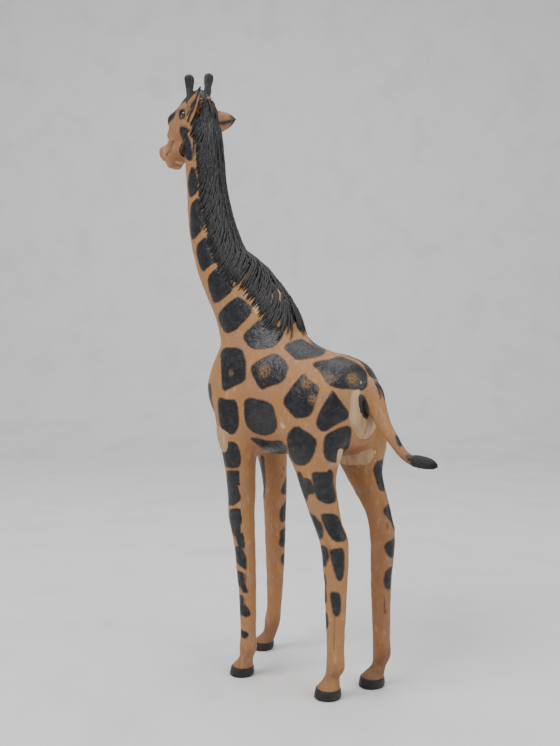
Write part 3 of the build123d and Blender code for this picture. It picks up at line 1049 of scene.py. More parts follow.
@dataclass(frozen=True)
class WoodFinish:
    """Plain carved softwood with its rings and fibres, unsealed."""

    name: str
    early: Colour
    late: Colour
    ring: float = 5.0

    def material(self) -> bpy.types.Material:
        """Build the wood."""
        s = Shader(self.name)
        rings = s.noise(self.ring, 3.0, 0.5, (1, 1, 14))
        fibre = s.noise(0.8, 3.0, 0.6, (1, 1, 22))
        colour = s.mix((rings * 0.75 + fibre * 0.25).fade(0.38, 0.64), self.early, self.late)
        normal = s.bump(fibre, 0.15)
        return s.finish(colour, 0.62 + 0.2 * fibre, normal)


@dataclass(frozen=True)
class WireFinish:
    """Annealed iron wire, drawn along its length and a little rusted."""

    name: str = "iron_wire"

    def material(self) -> bpy.types.Material:
        """Build the metal."""
        s = Shader(self.name)
        rust = s.noise(2.0, 4.0, 0.7).fade(0.55, 0.72)
        colour = s.mix(rust, (0.33, 0.32, 0.31), (0.17, 0.07, 0.03))
        normal = s.bump(s.noise(0.4, 2.0), 0.04)
        return s.finish(colour, 0.38 + 0.4 * rust, normal, Metallic=0.85)


@dataclass(frozen=True)
class EyeFinish:
    """Dark glass with a brown depth to it, wet-looking."""

    name: str = "dark_glass"

    def material(self) -> bpy.types.Material:
        """Build the glass."""
        s = Shader(self.name)
        colour = s.mix(s.noise(1.8, 2.0).fade(0.4, 0.7), (0.006, 0.004, 0.003), (0.030, 0.012, 0.005))
        smear = s.noise(1.2, 2.0)
        return s.finish(colour, 0.05 + 0.07 * smear, None, Coat_Weight=1.0, Coat_Roughness=0.03)


@dataclass(frozen=True)
class FloorFinish:
    """Pale matt studio floor, faintly smudged."""

    name: str = "studio_floor"
    clean: Colour = (0.80, 0.795, 0.785)
    smudge: Colour = (0.72, 0.725, 0.74)

    def material(self) -> bpy.types.Material:
        """Build the floor."""
        s = Shader(self.name)
        cloud = s.noise(130.0, 4.0, 0.6, (1, 1, 1))
        colour = s.mix(cloud.fade(0.45, 0.75), self.clean, self.smudge)
        return s.finish(colour, 0.55, None, Specular_IOR_Level=0.2)


# ---------------------------------------------------------------- painted patches and folds
FLANK = ("torso", "neck", "front_left", "hind_left", "tail")
LEFT_PATCHES = (
    Patch(
        ("neck",), ((-108, 562), (-104, 554), (-100, 539), (-101, 531), (-106, 532), (-115, 547), (-111, 555))
    ),
    Patch(("neck",), ((-102, 525), (-98, 521), (-95, 512), (-94, 496), (-104, 490), (-107, 508))),
    Patch(("neck",), ((-94, 489), (-90, 484), (-85, 457), (-99, 443), (-104, 451), (-103, 484))),
    Patch(("neck",), ((-82, 447), (-70, 419), (-81, 413), (-88, 407), (-93, 418), (-97, 436))),
    Patch(("neck",), ((-69, 412), (-62, 405), (-52, 386), (-75, 371), (-80, 385), (-83, 402))),
    Patch(
        FLANK, (
            (-48, 378), (-34, 365), (-38, 357), (-51, 344), (-61, 340), (-68, 349), (-72, 361), (-57, 374)
        )
    ),
    Patch(FLANK, ((-24, 356), (-3, 341), (-7, 332), (-14, 325), (-35, 323), (-45, 337), (-35, 346))),
    Patch(FLANK, ((-5, 326), (13, 334), (22, 328), (37, 323), (33, 317), (22, 314), (8, 312), (4, 317))),
    Patch(
        FLANK, (
            (-68, 326), (-45, 325), (-40, 311), (-41, 293), (-48, 289), (-57, 285), (-64, 281), (-66, 299)
        )
    ),
    Patch(
        FLANK, ((-37, 305), (-27, 313), (-11, 320), (1, 307), (-3, 295), (-8, 290), (-17, 288), (-26, 283))
    ),
    Patch(
        FLANK,
        (
            (22, 308),
            (27, 311),
            (38, 312),
            (48, 316),
            (57, 312),
            (66, 307),
            (72, 300),
            (72, 289),
            (67, 284),
            (56, 286),
            (45, 286),
            (36, 289),
            (29, 302),
        ),
    ),
    Patch(
        FLANK,
        (
            (
                14, 300
            ), (18, 294), (28, 287), (24, 276), (22, 265), (17, 260), (7, 258), (2, 263), (-6, 273), (4, 288)
        ),
    ),
    Patch(
        FLANK, (
            (39, 285), (45, 276), (54, 264), (53, 259), (44, 255), (30, 246), (24, 254), (28, 266), (36, 279)
        )
    ),
    Patch(FLANK, ((-70, 276), (-60, 273), (-50, 274), (-47, 250), (-52, 239), (-62, 241), (-67, 246))),
    Patch(
        FLANK, (
            (-43, 277), (-15, 272), (-12, 259), (-10, 249), (-14, 242), (-23, 239), (-34, 242), (-41, 250)
        )
    ),
    Patch(FLANK, ((-38, 237), (-17, 233), (-8, 235), (-2, 232), (0, 222), (-8, 214), (-19, 221), (-28, 228))),
    Patch(
        FLANK, (
            (-2, 241), (6, 252), (17, 246), (25, 240), (24, 231), (20, 221), (15, 216), (7, 215), (2, 221)
        )
    ),
    Patch(
        FLANK, (
            (32, 243), (39, 248), (53, 253), (57, 249), (54, 227), (50, 217), (43, 218), (33, 222), (31, 230)
        )
    ),
    Patch(FLANK, ((57, 278), (67, 281), (72, 272), (74, 259), (66, 253), (61, 256), (60, 267))),
    Patch(FLANK, ((75, 301), (82, 289), (88, 275), (91, 275), (86, 287), (80, 299))),
    Patch(FLANK, ((-82, 290), (-78, 288), (-77, 270), (-75, 262), (-81, 271))),
    Patch(("tail",), ((95, 244), (99, 243), (102, 236), (98, 234))),
    Patch(("tail",), ((103, 227), (108, 227), (110, 223), (105, 222))),
)
LEG_PATCHES = {
    "front_left": (
        ((-66, 231), (-52, 232), (-49, 229), (-46, 220), (-46, 209), (-50, 206), (-62, 206), (-64, 214)),
        ((-62, 195), (-50, 197), (-49, 187), (-45, 175), (-54, 168), (-59, 168)),
        ((-58, 158), (-51, 163), (-47, 159), (-46, 139), (-50, 137), (-54, 138)),
        ((-54, 123), (-48, 129), (-44, 125), (-41, 119), (-40, 106), (-43, 107), (-51, 112)),
        ((-48, 97), (-43, 97), (-40, 87), (-38, 84), (-43, 83), (-47, 89)),
        ((-49, 71), (-43, 73), (-38, 68), (-36, 62), (-40, 60), (-47, 62)),
        ((-47, 46), (-40, 46), (-38, 43), (-40, 40), (-45, 40)),
    ),
    "hind_left": (
        ((8, 208), (11, 209), (14, 202), (18, 194), (18, 187), (15, 177), (11, 190)),
        (
            (
                21, 208
            ), (
                23, 210
            ), (34, 210), (37, 213), (40, 210), (40, 199), (44, 184), (36, 181), (27, 184), (24, 190)
        ),
        ((18, 170), (22, 170), (28, 164), (32, 153), (29, 146), (23, 154)),
        ((29, 170), (32, 172), (41, 172), (45, 169), (49, 157), (53, 148), (41, 147), (34, 157)),
        ((27, 140), (31, 139), (35, 129), (34, 123), (30, 123), (28, 134)),
        ((37, 138), (40, 140), (48, 142), (50, 137), (50, 121), (48, 112), (44, 112), (40, 125)),
        ((31, 116), (33, 115), (34, 104), (32, 100)),
        ((37, 101), (46, 101), (47, 89), (46, 80), (41, 79), (39, 89)),
    ),
    "front_right": (
        ((3, 190), (0, 185), (-5, 173), (-2, 169), (3, 171)),
        ((3, 164), (-5, 155), (-6, 145), (-4, 139), (3, 143)),
        ((2, 134), (-6, 130), (-5, 125), (-7, 117), (-3, 112), (3, 119)),
        ((2, 107), (-4, 104), (-5, 99), (-1, 91), (2, 97)),
        ((-27, 212), (-23, 210), (-22, 185), (-23, 163), (-27, 170)),
    ),
    "hind_right": (
        ((93, 218), (84, 216), (81, 208), (84, 198), (87, 189), (93, 187)),
        ((97, 177), (89, 170), (97, 160), (101, 151), (105, 162)),
        ((104, 145), (94, 142), (90, 138), (92, 131), (97, 126), (103, 127)),
        ((99, 118), (92, 114), (90, 105), (92, 97), (99, 95)),
    ),
}
WORN_PLACES = (
    (38, 2, 302, 10),
    (30, 76, 294, 8),
    (20, 92, 294, 9),
    (38, 54, 291, 9),
    (42, 64, 276, 7),
    (22, 80, 188, 7),
    (30, 62, 300, 6),
    (36, -40, 300, 6),
    (18, -92, 470, 7),
)
CREASES = (
    Crease(((-8, 98, 268), (-4, 106, 262), (-2, 104, 248), (-4, 96, 236)), 1.6, 1.0),
    Crease(((14, 98, 262), (12, 103, 252), (6, 104, 244)), 1.4, 0.8),
    Crease(((10, 100, 240), (0, 98, 232), (-14, 95, 236)), 1.5, 1.0),
    Crease(((6, 97, 226), (-8, 95, 222), (-20, 92, 226)), 1.3, 0.9),
    Crease(((2, 92, 216), (-10, 92, 212), (-22, 92, 218)), 1.2, 0.8),
    Crease(((-8, 88, 206), (-16, 92, 200), (-22, 94, 204)), 1.0, 0.7),
    Crease(((-17, 96, 190), (-20, 100, 180), (-21, 103, 168)), 1.0, 0.8),
    Crease(((-19, 103, 164), (-24, 107, 158), (-30, 108, 152)), 0.9, 0.8),
    Crease(((-20, 104, 162), (-21, 104, 154), (-20, 103, 146)), 0.9, 0.7),
    Crease(((-20, 102, 92), (-21, 101, 84), (-22, 100, 74)), 0.8, 0.6),
    Crease(((-26, 102, 88), (-24, 101, 80), (-22, 101, 72)), 0.8, 0.6),
    Crease(((32, 58, 178), (34, 62, 160), (34, 72, 146), (32, 78, 138)), 1.0, 0.75),
    Crease(((29, 80, 118), (30, 80, 96), (30, 79, 60), (28, 78, 38)), 0.9, 0.45),
    Crease(((38, -14, 226), (34, -12, 218), (30, -16, 208), (27, -20, 196)), 1.3, 0.9),
    Crease(((30, -10, 228), (24, -12, 220), (20, -20, 214)), 1.2, 0.8),
    Crease(((-24, -34, 214), (-34, -32, 204), (-40, -36, 196)), 1.2, 0.8),
    Crease(((-28, -38, 202), (-36, -36, 190), (-42, -42, 184)), 1.0, 0.7),
    Crease(((20, 30, 218), (34, 34, 222), (40, 38, 232)), 1.3, 0.8),
    Crease(((32, -36, 49), (28, -34, 44), (34, -38, 38)), 1.0, 0.7),
    Crease(((22, 60, 32), (30, 66, 27), (32, 76, 26)), 1.1, 0.8),
    Crease(((-22, 98, 42), (-28, 92, 36), (-36, 84, 30)), 1.1, 0.8),
    Crease(((18, -92, 330), (26, -70, 344), (27, -44, 350), (24, -20, 352)), 1.2, 0.45),
    Crease(((15, -116, 548), (13, -136, 546), (8, -146, 545)), 1.1, 0.6),
    Crease(((-15, -116, 548), (-13, -136, 546), (-8, -146, 545)), 1.1, 0.6),
)


# ---------------------------------------------------------------- the leather
@dataclass(frozen=True)
class Hide:
    """The whole leather cover: one smooth skin over every limb, cut into its sewn pieces."""

    trunk: Trunk = Trunk()
    legs: tuple[Leg, ...] = LEGS
    neck_fillet: float = 14.0
    leg_fillet: float = 11.0
    small_fillet: float = 6.0
    lump: float = 0.34
    head_floor: float = 533.0

    def limbs(self) -> dict[str, Limb]:
        """Every limb by name."""
        found = {
            "torso": self.trunk.torso(),
            "neck": Limb(self.trunk.neck_stations()),
            "head": self.trunk.head(),
            "tail": self.trunk.tail(),
        }
        found.update({leg.name: leg.limb() for leg in self.legs})
        return found

    def add_face(self, lattice: Lattice) -> None:
        """Model the face on a lattice that holds the bare skull."""
        at = self.trunk.on_head

        def join(shape: tuple[Measure, Box], width: float) -> None:
            """Blend a form in."""
            lattice.join(*shape, width)

        def carve(shape: tuple[Measure, Box], width: float) -> None:
            """Take a form away."""
            lattice.values *= -1
            lattice.join(*shape, width)
            lattice.values *= -1

        join(ball(at(0, 33, 4), 8.5), 7)
        join(bar(at(0, 24, 8), at(0, 38, -12), 7.0, 6.0), 6)
        join(bar(at(-5, 42, -33), at(5, 42, -33), 8.6, 8.6), 6)
        join(bar(at(-4, 35, -45), at(4, 35, -45), 5.6, 5.6), 4)
        join(bar(at(-6, 18, -31), at(6, 18, -31), 7.5, 7.5), 8)
        for side in (-1, 1):
            join(bar(at(side * 12, 10, 8), at(side * 11, -4, 7), 4.2, 4.6), 5)
            join(bar(at(side * 10.5, 4, -14), at(side * 8, 20, -22), 7.0, 5.0), 7)
            join(ball(at(side * 7.0, 45, -30), 4.2), 3)
            carve(ball(at(side * 7.6, 49.0, -31.5), 2.1), 1.6)
            lips = (
                at(
                    side * 1.5, 46.5, -42
                ), at(side * 8, 41.0, -41), at(side * 13.5, 29, -35), at(side * 15, 20, -25)
            )
            for a, b in zip(lips, lips[1:]):
                carve(bar(a, b, 1.3, 1.3), 1.2)
            outlook = (side, -0.25, 0.1)
            eye = at(side * 13.6, 4, 1)
            join(hoop((eye[0] + side * 1.6, eye[1] - 0.4, eye[2] + 0.2), outlook, 4.5, 1.5), 2.0)
            carve(ball((eye[0] + side * 1.6, eye[1] - 0.5, eye[2] + 0.2), 4.3), 0.4)
            join(bar(at(side * 16.0, 8, 5.6), at(side * 16.6, -1.0, 5.0), 1.5, 1.3), 1.6)

    def relief(self, points: Array) -> Array:
        """Height of the leather's lumps and folds at each point."""
        lumps = noise(points, 15, 1) + 0.5 * noise(points, 6.5, 2) + 0.28 * noise(points, 3.2, 3)
        stretched = points * np.array([1, 1, 0.3])
        pulled = np.maximum(noise(stretched, 5.0, 4), 0) ** 2
        return self.lump * lumps - 0.35 * pulled

    def dress_values(self, skin: Skin, labels: Array, names: list[str]) -> dict[str, Array]:
        """Work out what the finish reads: paint, wear, shade and folds.

        Args:
            skin: the smooth skin, before its relief.
            labels: number of the nearest limb for each point.
            names: the limbs' names in number order.

        Returns:
            Numbers for each point, by name.
        """
        points, normals = skin.points, skin.normals()
        paint = np.full(len(points), FAR)
        for patch in all_patches():
            wanted = np.isin(labels, [names.index(n) for n in patch.limbs if n in names])
            if patch.limbs[0] in ("torso", "neck"):
                side = -1 if patch.mirrored else 1
                wanted &= side * points[:, 0] > -14
            found = patch.distance(points[wanted], normals[wanted])
            paint[wanted] = np.minimum(paint[wanted], found)
        ridge = self.trunk.mane()
        near = (points[:, 2] > 335) & (labels != names.index("head"))
        flames = 3.4 * noise(points[near] * np.array([1, 1, 0.22]), 3.0, 11)
        paint[near] = np.minimum(paint[near], ridge.distance(points[near]) - 4.6 - flames)
        wear = np.zeros(len(points))
        for x, y, z, reach in WORN_PLACES:
            gap = np.linalg.norm(points - np.array([x, y, z]), axis=1)
            wear = np.maximum(wear, fade(gap, reach, reach * 0.25))
        # depth of the creases, which the leather's finish uses to darken the folds as painted shade
        folds = np.zeros(len(points))
        for crease in CREASES:
            folds = np.maximum(folds, np.clip(-crease.height(points) / max(crease.depth, 0.1), 0, 1))
        z = points[:, 2]
        # shade: darker towards the feet, and painted shade on the faces that look down
        shade = 0.55 * fade(z, 46, 24) + 0.40 * fade(normals[:, 2], -0.15, -0.9)
        right = np.isin(labels, [names.index(n) for n in ("front_right", "hind_right") if n in names])
        # painted shade on the far right legs, up to the belly
        shade += 0.28 * right * fade(z, 230, 200)
        # painted shade under the belly, between the legs
        shade += 0.45 * fade(np.abs(points[:, 0]), 22, 4) * fade(z, 236, 222)
        # darker towards the head
        shade += 0.35 * fade(z, 470, 560)
        # painted shade under the tail
        shade += 0.4 * fade(points[:, 1], 92, 100) * fade(z, 262, 236)
        return {"paint": paint, "wear": wear, "folds": folds, "shade": np.clip(shade, 0, 1)}

    def build(self, material: bpy.types.Material) -> Lattice:
        """Make every hide piece.

        Args:
            material: the leather's finish.

        Returns:
            The lattice that holds the body's form, for what lies on it.
        """
        limbs = self.limbs()
        body = Lattice(np.array([-62.0, -180, 3]), np.array([56.0, 156, 606]), CELL)
        fillets = {
            "torso": 1.0, "neck": self.neck_fillet, "head": self.small_fillet, "tail": self.small_fillet
        }
        for name, limb in limbs.items():
            body.join(limb.distance, limb.box(14), fillets.get(name, self.leg_fillet))
        self.cut_pieces(body, limbs, material, tuple(name for name in limbs if name != "head"))

        skull = Lattice(np.array([-24.0, -184, 520]), np.array([24.0, -86, 622]), FINE_CELL)
        for name in ("neck", "head"):
            skull.join(limbs[name].distance, limbs[name].box(14), self.small_fillet)
        self.add_face(skull)
        self.cut_pieces(skull, {"neck": limbs["neck"], "head": limbs["head"]}, material, ("head",))
        return body

    def cut_pieces(
        self, lattice: Lattice, limbs: dict[str, Limb], material: bpy.types.Material, wanted: tuple[str, ...]
    ) -> None:
        """Skin a lattice and cut the wanted limbs' pieces out of it."""
        skin = lattice.skin()
        names = list(limbs)
        gaps = np.stack([limb.distance(skin.points) for limb in limbs.values()], axis=1)
        gaps += 0.8 * noise(skin.points, 9, 21)[:, None] * (np.arange(len(names)) % 2)
        labels = gaps.argmin(axis=1)
        values = self.dress_values(skin, labels, names)
        normals = skin.normals()
        if "head" in wanted:
            values.update(self.face_values(skin))
        height = self.relief(skin.points)
        for crease in CREASES:
            height += crease.height(skin.points)
        height += 0.18 * fade(values["paint"], 0.4, -0.4)
        calm = np.minimum(fade(skin.points[:, 2], 8, 16), 1.0)
        skin.points = skin.points + normals * (height * calm)[:, None]
        face_labels = labels[skin.faces[:, 0]]
        for name in wanted:
            number = names.index(name)
            chosen = face_labels == number
            if name == "head":
                chosen = (labels[skin.faces] == number).any(axis=1)
            node = f"{name}_hide" if name in ("torso", "neck", "head", "tail") else f"{name}_leg_hide"
            piece = shell(f"{node}_leather", skin, chosen, values, material)
            declare(piece, "hide_leather", node)

    def face_values(self, skin: Skin) -> dict[str, Array]:
        """Paint and shade of the face: dark crown and cheeks, pale muzzle, dark nostrils and eye rims,
        painted shade round the eyes.
        """
        at = self.trunk.on_head
        points = skin.points
        x = np.abs(points[:, 0])
        forwards = at(0, 0, 0)[1] - points[:, 1]
        up = points[:, 2] - at(0, 0, 0)[2]
        eye = np.array(at(15.0, 4, 1))
        to_eye = np.linalg.norm(np.stack([x, points[:, 1], points[:, 2]], axis=1) - eye, axis=1)
        muzzle = fade(forwards - 0.25 * up, 36, 46)
        shade = 0.55 + 0.25 * noise(points, 7, 31) - 0.35 * muzzle
        # painted shade round the eye, in its socket
        shade += 0.6 * fade(to_eye, 8.5, 5.5)
        cheek = np.hypot((forwards - 6 - 0.25 * up) / 7.5, (up + 30) / 17.0)
        paint = (cheek - 1) * 7.0
        crown = 3.0 - (up - 9.0 + 0.35 * forwards)
        paint = np.minimum(paint, np.where(x < 13, crown, FAR))
        paint = np.minimum(paint, to_eye - 5.6)
        hole = np.linalg.norm(
            np.stack([x, points[:, 1], points[:, 2]], axis=1) - np.array(at(7.6, 47.5, -31.5)), axis=1
        )
        paint = np.minimum(paint, hole - 2.6)
        zeros = np.zeros(len(points))
        return {"paint": paint, "wear": zeros, "folds": zeros, "shade": np.clip(shade, 0, 1)}


def all_patches() -> list[Patch]:
    """Every patch of the left side, and the right side's own cousins of them."""
    right_flank = ("torso", "neck", "front_right", "hind_right", "tail")
    found = list(LEFT_PATCHES)
    for i, patch in enumerate(LEFT_PATCHES):
        if patch.limbs == ("tail",):
            continue
        along, up = 2.5 * math.sin(5.1 * i), 3.0 * math.cos(3.7 * i)
        found.append(patch.on_right(right_flank, along, up))
    feet = {leg.name: leg for leg in LEGS}
    for name, outlines in LEG_PATCHES.items():
        found += [Patch((name,), corners) for corners in outlines]
    c, s = math.cos(math.radians(40)), math.sin(math.radians(40))
    for left, right in (("front_left", "front_right"), ("hind_left", "hind_right")):
        a, b = feet[left], feet[right]
        along = (b.y - a.y) * c - (-b.x - a.x) * s
        for i, corners in enumerate(LEG_PATCHES[left]):
            found.append(Patch((left,), corners).on_right((right,), along, 3.0 * math.cos(2.3 * i)))
    for side, (front, hind) in enumerate((("front_left", "hind_left"), ("front_right", "hind_right"))):
        for name in (front, hind):
            leg = feet[name]
            for k in range(5):
                across = -side_view(leg, -50) + 2.0 * math.sin(4.0 * k + side)
                low = 60 + 31 * k + 4 * math.cos(3 * k)
                wide = 4.5 + 0.7 * k
                corners = (
                    (across - wide, low + 14),
                    (across + wide * 0.8, low + 17),
                    (across + wide, low + 3),
                    (across - wide * 0.5, low),
                )
                found.append(Patch((name,), corners, turn=-50.0, mirrored=side == 1))
    return found


def side_view(leg: Leg, turn: float) -> float:
    """A leg's place across the view that is turned by some degrees from its own side."""
    angle = math.radians(turn)
    return -((leg.y + 8) * math.cos(angle) - abs(leg.x) * math.sin(angle))


# ---------------------------------------------------------------- mane, tuft and their locks
def lock_tree() -> tuple[bpy.types.NodeTree, dict[str, str]]:
    """Geometry Nodes that turn guide lines into tapered locks.

    Returns:
        The tree and the identifiers of its named inputs.
    """
    tree = bpy.data.node_groups.new("locks", "GeometryNodeTree")
    face = tree.interface
    face.new_socket("Geometry", in_out="INPUT", socket_type="NodeSocketGeometry")
    named = {
        "Root radius": "NodeSocketFloat",
        "Tip radius": "NodeSocketFloat",
        "Sides": "NodeSocketInt",
        "Finish": "NodeSocketMaterial",
    }
    identifiers = {
        name: face.new_socket(
            name, in_out="INPUT", socket_type=kind
        ).identifier for name, kind in named.items()
    }
    face.new_socket("Geometry", in_out="OUTPUT", socket_type="NodeSocketGeometry")
    nodes, links = tree.nodes, tree.links
    given, out = nodes.new("NodeGroupInput"), nodes.new("NodeGroupOutput")
    lines = nodes.new("GeometryNodeMeshToCurve")
    along = nodes.new("GeometryNodeSplineParameter")
    taper = nodes.new("ShaderNodeMath")
    taper.operation = "POWER"
    taper.inputs[1].default_value = 2.4
    radius = nodes.new("ShaderNodeMapRange")
    profile = nodes.new("GeometryNodeCurvePrimitiveCircle")
    swept = nodes.new("GeometryNodeCurveToMesh")
    swept.inputs["Fill Caps"].default_value = True
    real = nodes.new("GeometryNodeRealizeInstances")
    dressed = nodes.new("GeometryNodeSetMaterial")
    links.new(given.outputs["Geometry"], lines.inputs["Mesh"])
    links.new(along.outputs["Factor"], taper.inputs[0])
    links.new(taper.outputs[0], radius.inputs["Value"])
    links.new(given.outputs["Root radius"], radius.inputs["To Min"])
    links.new(given.outputs["Tip radius"], radius.inputs["To Max"])
    links.new(radius.outputs["Result"], swept.inputs["Scale"])
    links.new(given.outputs["Sides"], profile.inputs["Resolution"])
    profile.inputs["Radius"].default_value = 1.0
    links.new(lines.outputs["Curve"], swept.inputs["Curve"])
    links.new(profile.outputs["Curve"], swept.inputs["Profile Curve"])
    links.new(swept.outputs["Mesh"], real.inputs["Geometry"])
    links.new(real.outputs["Geometry"], dressed.inputs["Geometry"])
    links.new(given.outputs["Finish"], dressed.inputs["Material"])
    links.new(dressed.outputs["Geometry"], out.inputs["Geometry"])
    return tree, identifiers


@dataclass(frozen=True)
class Locks:
    """Tapered locks of hair swept along guide lines, all of one thickness, in millimetres."""

    root_radius: float = 1.35
    tip_radius: float = 0.16
    sides: int = 6

    def build(self, name: str, guides: list[Array], material: bpy.types.Material) -> bpy.types.Object:
        """Sweep the locks.

        Args:
            name: the piece's name.
            guides: rows of places for each lock, from root to tip.
            material: the locks' finish.

        Returns:
            One plain mesh piece.
        """
        points = np.vstack(guides)
        starts = np.cumsum([0] + [len(g) for g in guides])
        edges = [(i, i + 1) for a, b in zip(starts, starts[1:]) for i in range(a, b - 1)]
        draft = mesh_object(f"{name}_guides", points, edges, material)
        tree, sockets = lock_tree()
        sweep = draft.modifiers.new("locks", "NODES")
        sweep.node_group = tree
        sweep[sockets["Root radius"]] = self.root_radius * MM
        sweep[sockets["Tip radius"]] = self.tip_radius * MM
        sweep[sockets["Sides"]] = self.sides
        sweep[sockets["Finish"]] = material
        graph = bpy.context.evaluated_depsgraph_get()
        mesh = bpy.data.meshes.new_from_object(draft.evaluated_get(graph))
        bpy.data.objects.remove(draft)
        work = bmesh.new()
        work.from_mesh(mesh)
        bmesh.ops.recalc_face_normals(work, faces=work.faces)
        work.to_mesh(mesh)
        work.free()
        mesh.name = name
        mesh.polygons.foreach_set("use_smooth", np.ones(len(mesh.polygons), bool))
        piece = bpy.data.objects.new(name, mesh)
        bpy.context.scene.collection.objects.link(piece)
        return piece


@dataclass(frozen=True)
class Mane:
    """The carved black mane: a grooved ridge with pointed locks that hang over the neck."""

    trunk: Trunk = Trunk()
    groove: float = 0.55
    pitch: float = 2.3
    spacing: float = 3.6
    rows: tuple[tuple[float, float], ...] = ((6, 24), (24, 26), (42, 25), (58, 22), (72, 18), (84, 13))

    def ridge(self, neck: Limb, head: Limb, material: bpy.types.Material) -> bpy.types.Object:
        """The solid ridge that stands on the back of the neck."""
        line = self.trunk.mane()
        low, high = line.box(6)
        lattice = Lattice(low, high, FINE_CELL * 1.3)
        lattice.join(line.distance, (low, high), 1.0)
        lattice.values *= -1
        for limb in (neck, head):
            lattice.join(lambda p, limb=limb: limb.distance(p) + 0.9, limb.box(8), 0.6)
        lattice.values *= -1
        skin = lattice.skin()
        points, normals = skin.points, skin.normals()
        across = points[:, 1] + 0.16 * points[:, 2] + 1.5 * noise(points, 13, 41)
        back = np.abs(points[:, 0])
        strands = np.sin(2 * math.pi * (across + 0.55 * back) / self.pitch)
        strands += 0.5 * np.sin(2 * math.pi * (across * 1.7 - 0.8 * back) / self.pitch + 1.3)
        outside = neck.distance(points) > 0.2
        skin.points = points + normals * (
            outside * (self.groove * strands + 0.5 * noise(points, 5, 42))
        )[:, None]
        return mesh_object("mane_ridge", skin.points, skin.faces, material)

    def guides(self, body: Lattice) -> list[Array]:
        """Lines of the locks, each running down the neck's skin from the ridge."""
        pick = np.random.default_rng(17)
        line = self.trunk.mane()
        places = line.centres
        lengths = np.r_[0, np.cumsum(np.linalg.norm(np.diff(places, axis=0), axis=1))]
        found = []
        for side in (-1, 1):
            for row, (angle, length) in enumerate(self.rows):
                for s in np.arange(8 + 1.3 * row, lengths[-1] - 10, self.spacing):
                    s += pick.uniform(-1.1, 1.1)
                    centre = np.array([np.interp(s, lengths, places[:, k]) for k in range(3)])
                    deep = np.array([np.interp(s, lengths, line.deep[:, k]) for k in range(3)])
                    reach = np.interp(s, lengths, line.halves[:, 1])
                    if deep[1] < 0:
                        deep = -deep
                    turned = math.radians(angle + pick.uniform(-5, 5))
                    way = deep * math.cos(turned) + np.array([side * math.sin(turned), 0, 0])
                    if reach < 6:
                        continue
                    found.append(self.lock(body, centre, way, row, length * pick.uniform(0.75, 1.25), pick))
        return found

    def lock(
        self, body: Lattice, centre: Array, way: Array, row: int, length: float, pick: np.random.Generator
    ) -> Array:
        """One lock's line over the skin.

        Args:
            body: the lattice with the neck's form.
            centre: a place on the ridge's own line.
            way: the direction from there to the lock's root.
            row: how far down the side it starts, as a count.
            length: how long it is.
            pick: the source of small differences.

        Returns:
            Its places, from root to tip.
        """
        lift = 2.9 if row == 0 else max(2.2 - 0.55 * row, 0.2)
        at = centre + way * 22
        for _ in range(5):
            at = at - body.slope(at[None])[0] * (body.read(at[None])[0] - lift)
        lean = -0.16 - 0.10 * row + pick.uniform(-0.12, 0.08)
        steps = 7
        places = []
        for k in range(steps + 1):
            share = k / steps
            places.append(at)
            normal = body.slope(at[None])[0]
            down = np.array([0.0, lean * (0.5 + share), -1.0])
            down -= normal * (down @ normal)
            at = at + down / np.linalg.norm(down) * length / steps
            height = lift * (1 - share) + 0.35 * (1 - share) + 0.25
            at = at - body.slope(at[None])[0] * (body.read(at[None])[0] - height)
        return np.array(places)

    def build(self, body: Lattice, material: bpy.types.Material) -> None:
        """Make the ridge and its locks."""
        neck = Limb(self.trunk.neck_stations())
        declare(self.ridge(neck, self.trunk.head(), material), "black_wood", "mane")
        locks = Locks().build("mane_locks", self.guides(body), material)
        declare(locks, "black_wood")


@dataclass(frozen=True)
class Tuft:
    """The black tuft that ends the tail."""

    trunk: Trunk = Trunk()
    length: float = 21.0
    strands: int = 46

    def build(self, material: bpy.types.Material) -> None:
        """Make the tuft's core and the strands round it."""
        tail = self.trunk.tail()
        tip = tail.centres[-1]
        shares = (
            (-0.14, 0.1, 4.9), (0.12, -0.2, 5.3), (0.40, -0.8, 5.2), (0.75, -1.8, 4.0), (0.97, -3.0, 1.2)
        )
        core = Limb([Station(0, tip[1] + s * self.length, tip[2] + d, r, r) for s, d, r in shares])
        low, high = core.box(3)
        lattice = Lattice(low, high, FINE_CELL)
        lattice.join(core.distance, (low, high), 1.0)
        skin = lattice.skin()
        turn = np.arctan2(skin.points[:, 2] - tip[2] + 1, skin.points[:, 0])
        skin.points += skin.normals() * (0.35 * np.sin(turn * 17 + 0.25 * skin.points[:, 1]))[:, None]
        ball_piece = mesh_object("tail_tuft_core", skin.points, skin.faces, material)
        declare(ball_piece, "black_leather", "tail_tuft")
        pick = np.random.default_rng(5)
        guides = []
        for k in range(self.strands):
            angle = 2 * math.pi * (k + pick.uniform(-0.3, 0.3)) / self.strands
            reach = pick.uniform(0.62, 1.04)
            rows = []
            for share in np.linspace(0, reach, 7):
                radius = np.interp(share, [0, 0.15, 0.45, 0.8, 1.05], [4.6, 5.1, 5.0, 3.9, 1.0])
                drop = np.interp(share, [0, 0.4, 0.75, 1.05], [0, -0.8, -1.8, -3.2])
                twist = angle + 0.25 * share
                rows.append(
                    (
                        radius * math.cos(twist),
                        tip[1] + share * self.length,
                        tip[2] + drop + radius * math.sin(twist),
                    )
                )
            guides.append(np.array(rows))
        declare(Locks(0.62, 0.12, 5).build("tail_tuft_strands", guides, material), "black_leather")


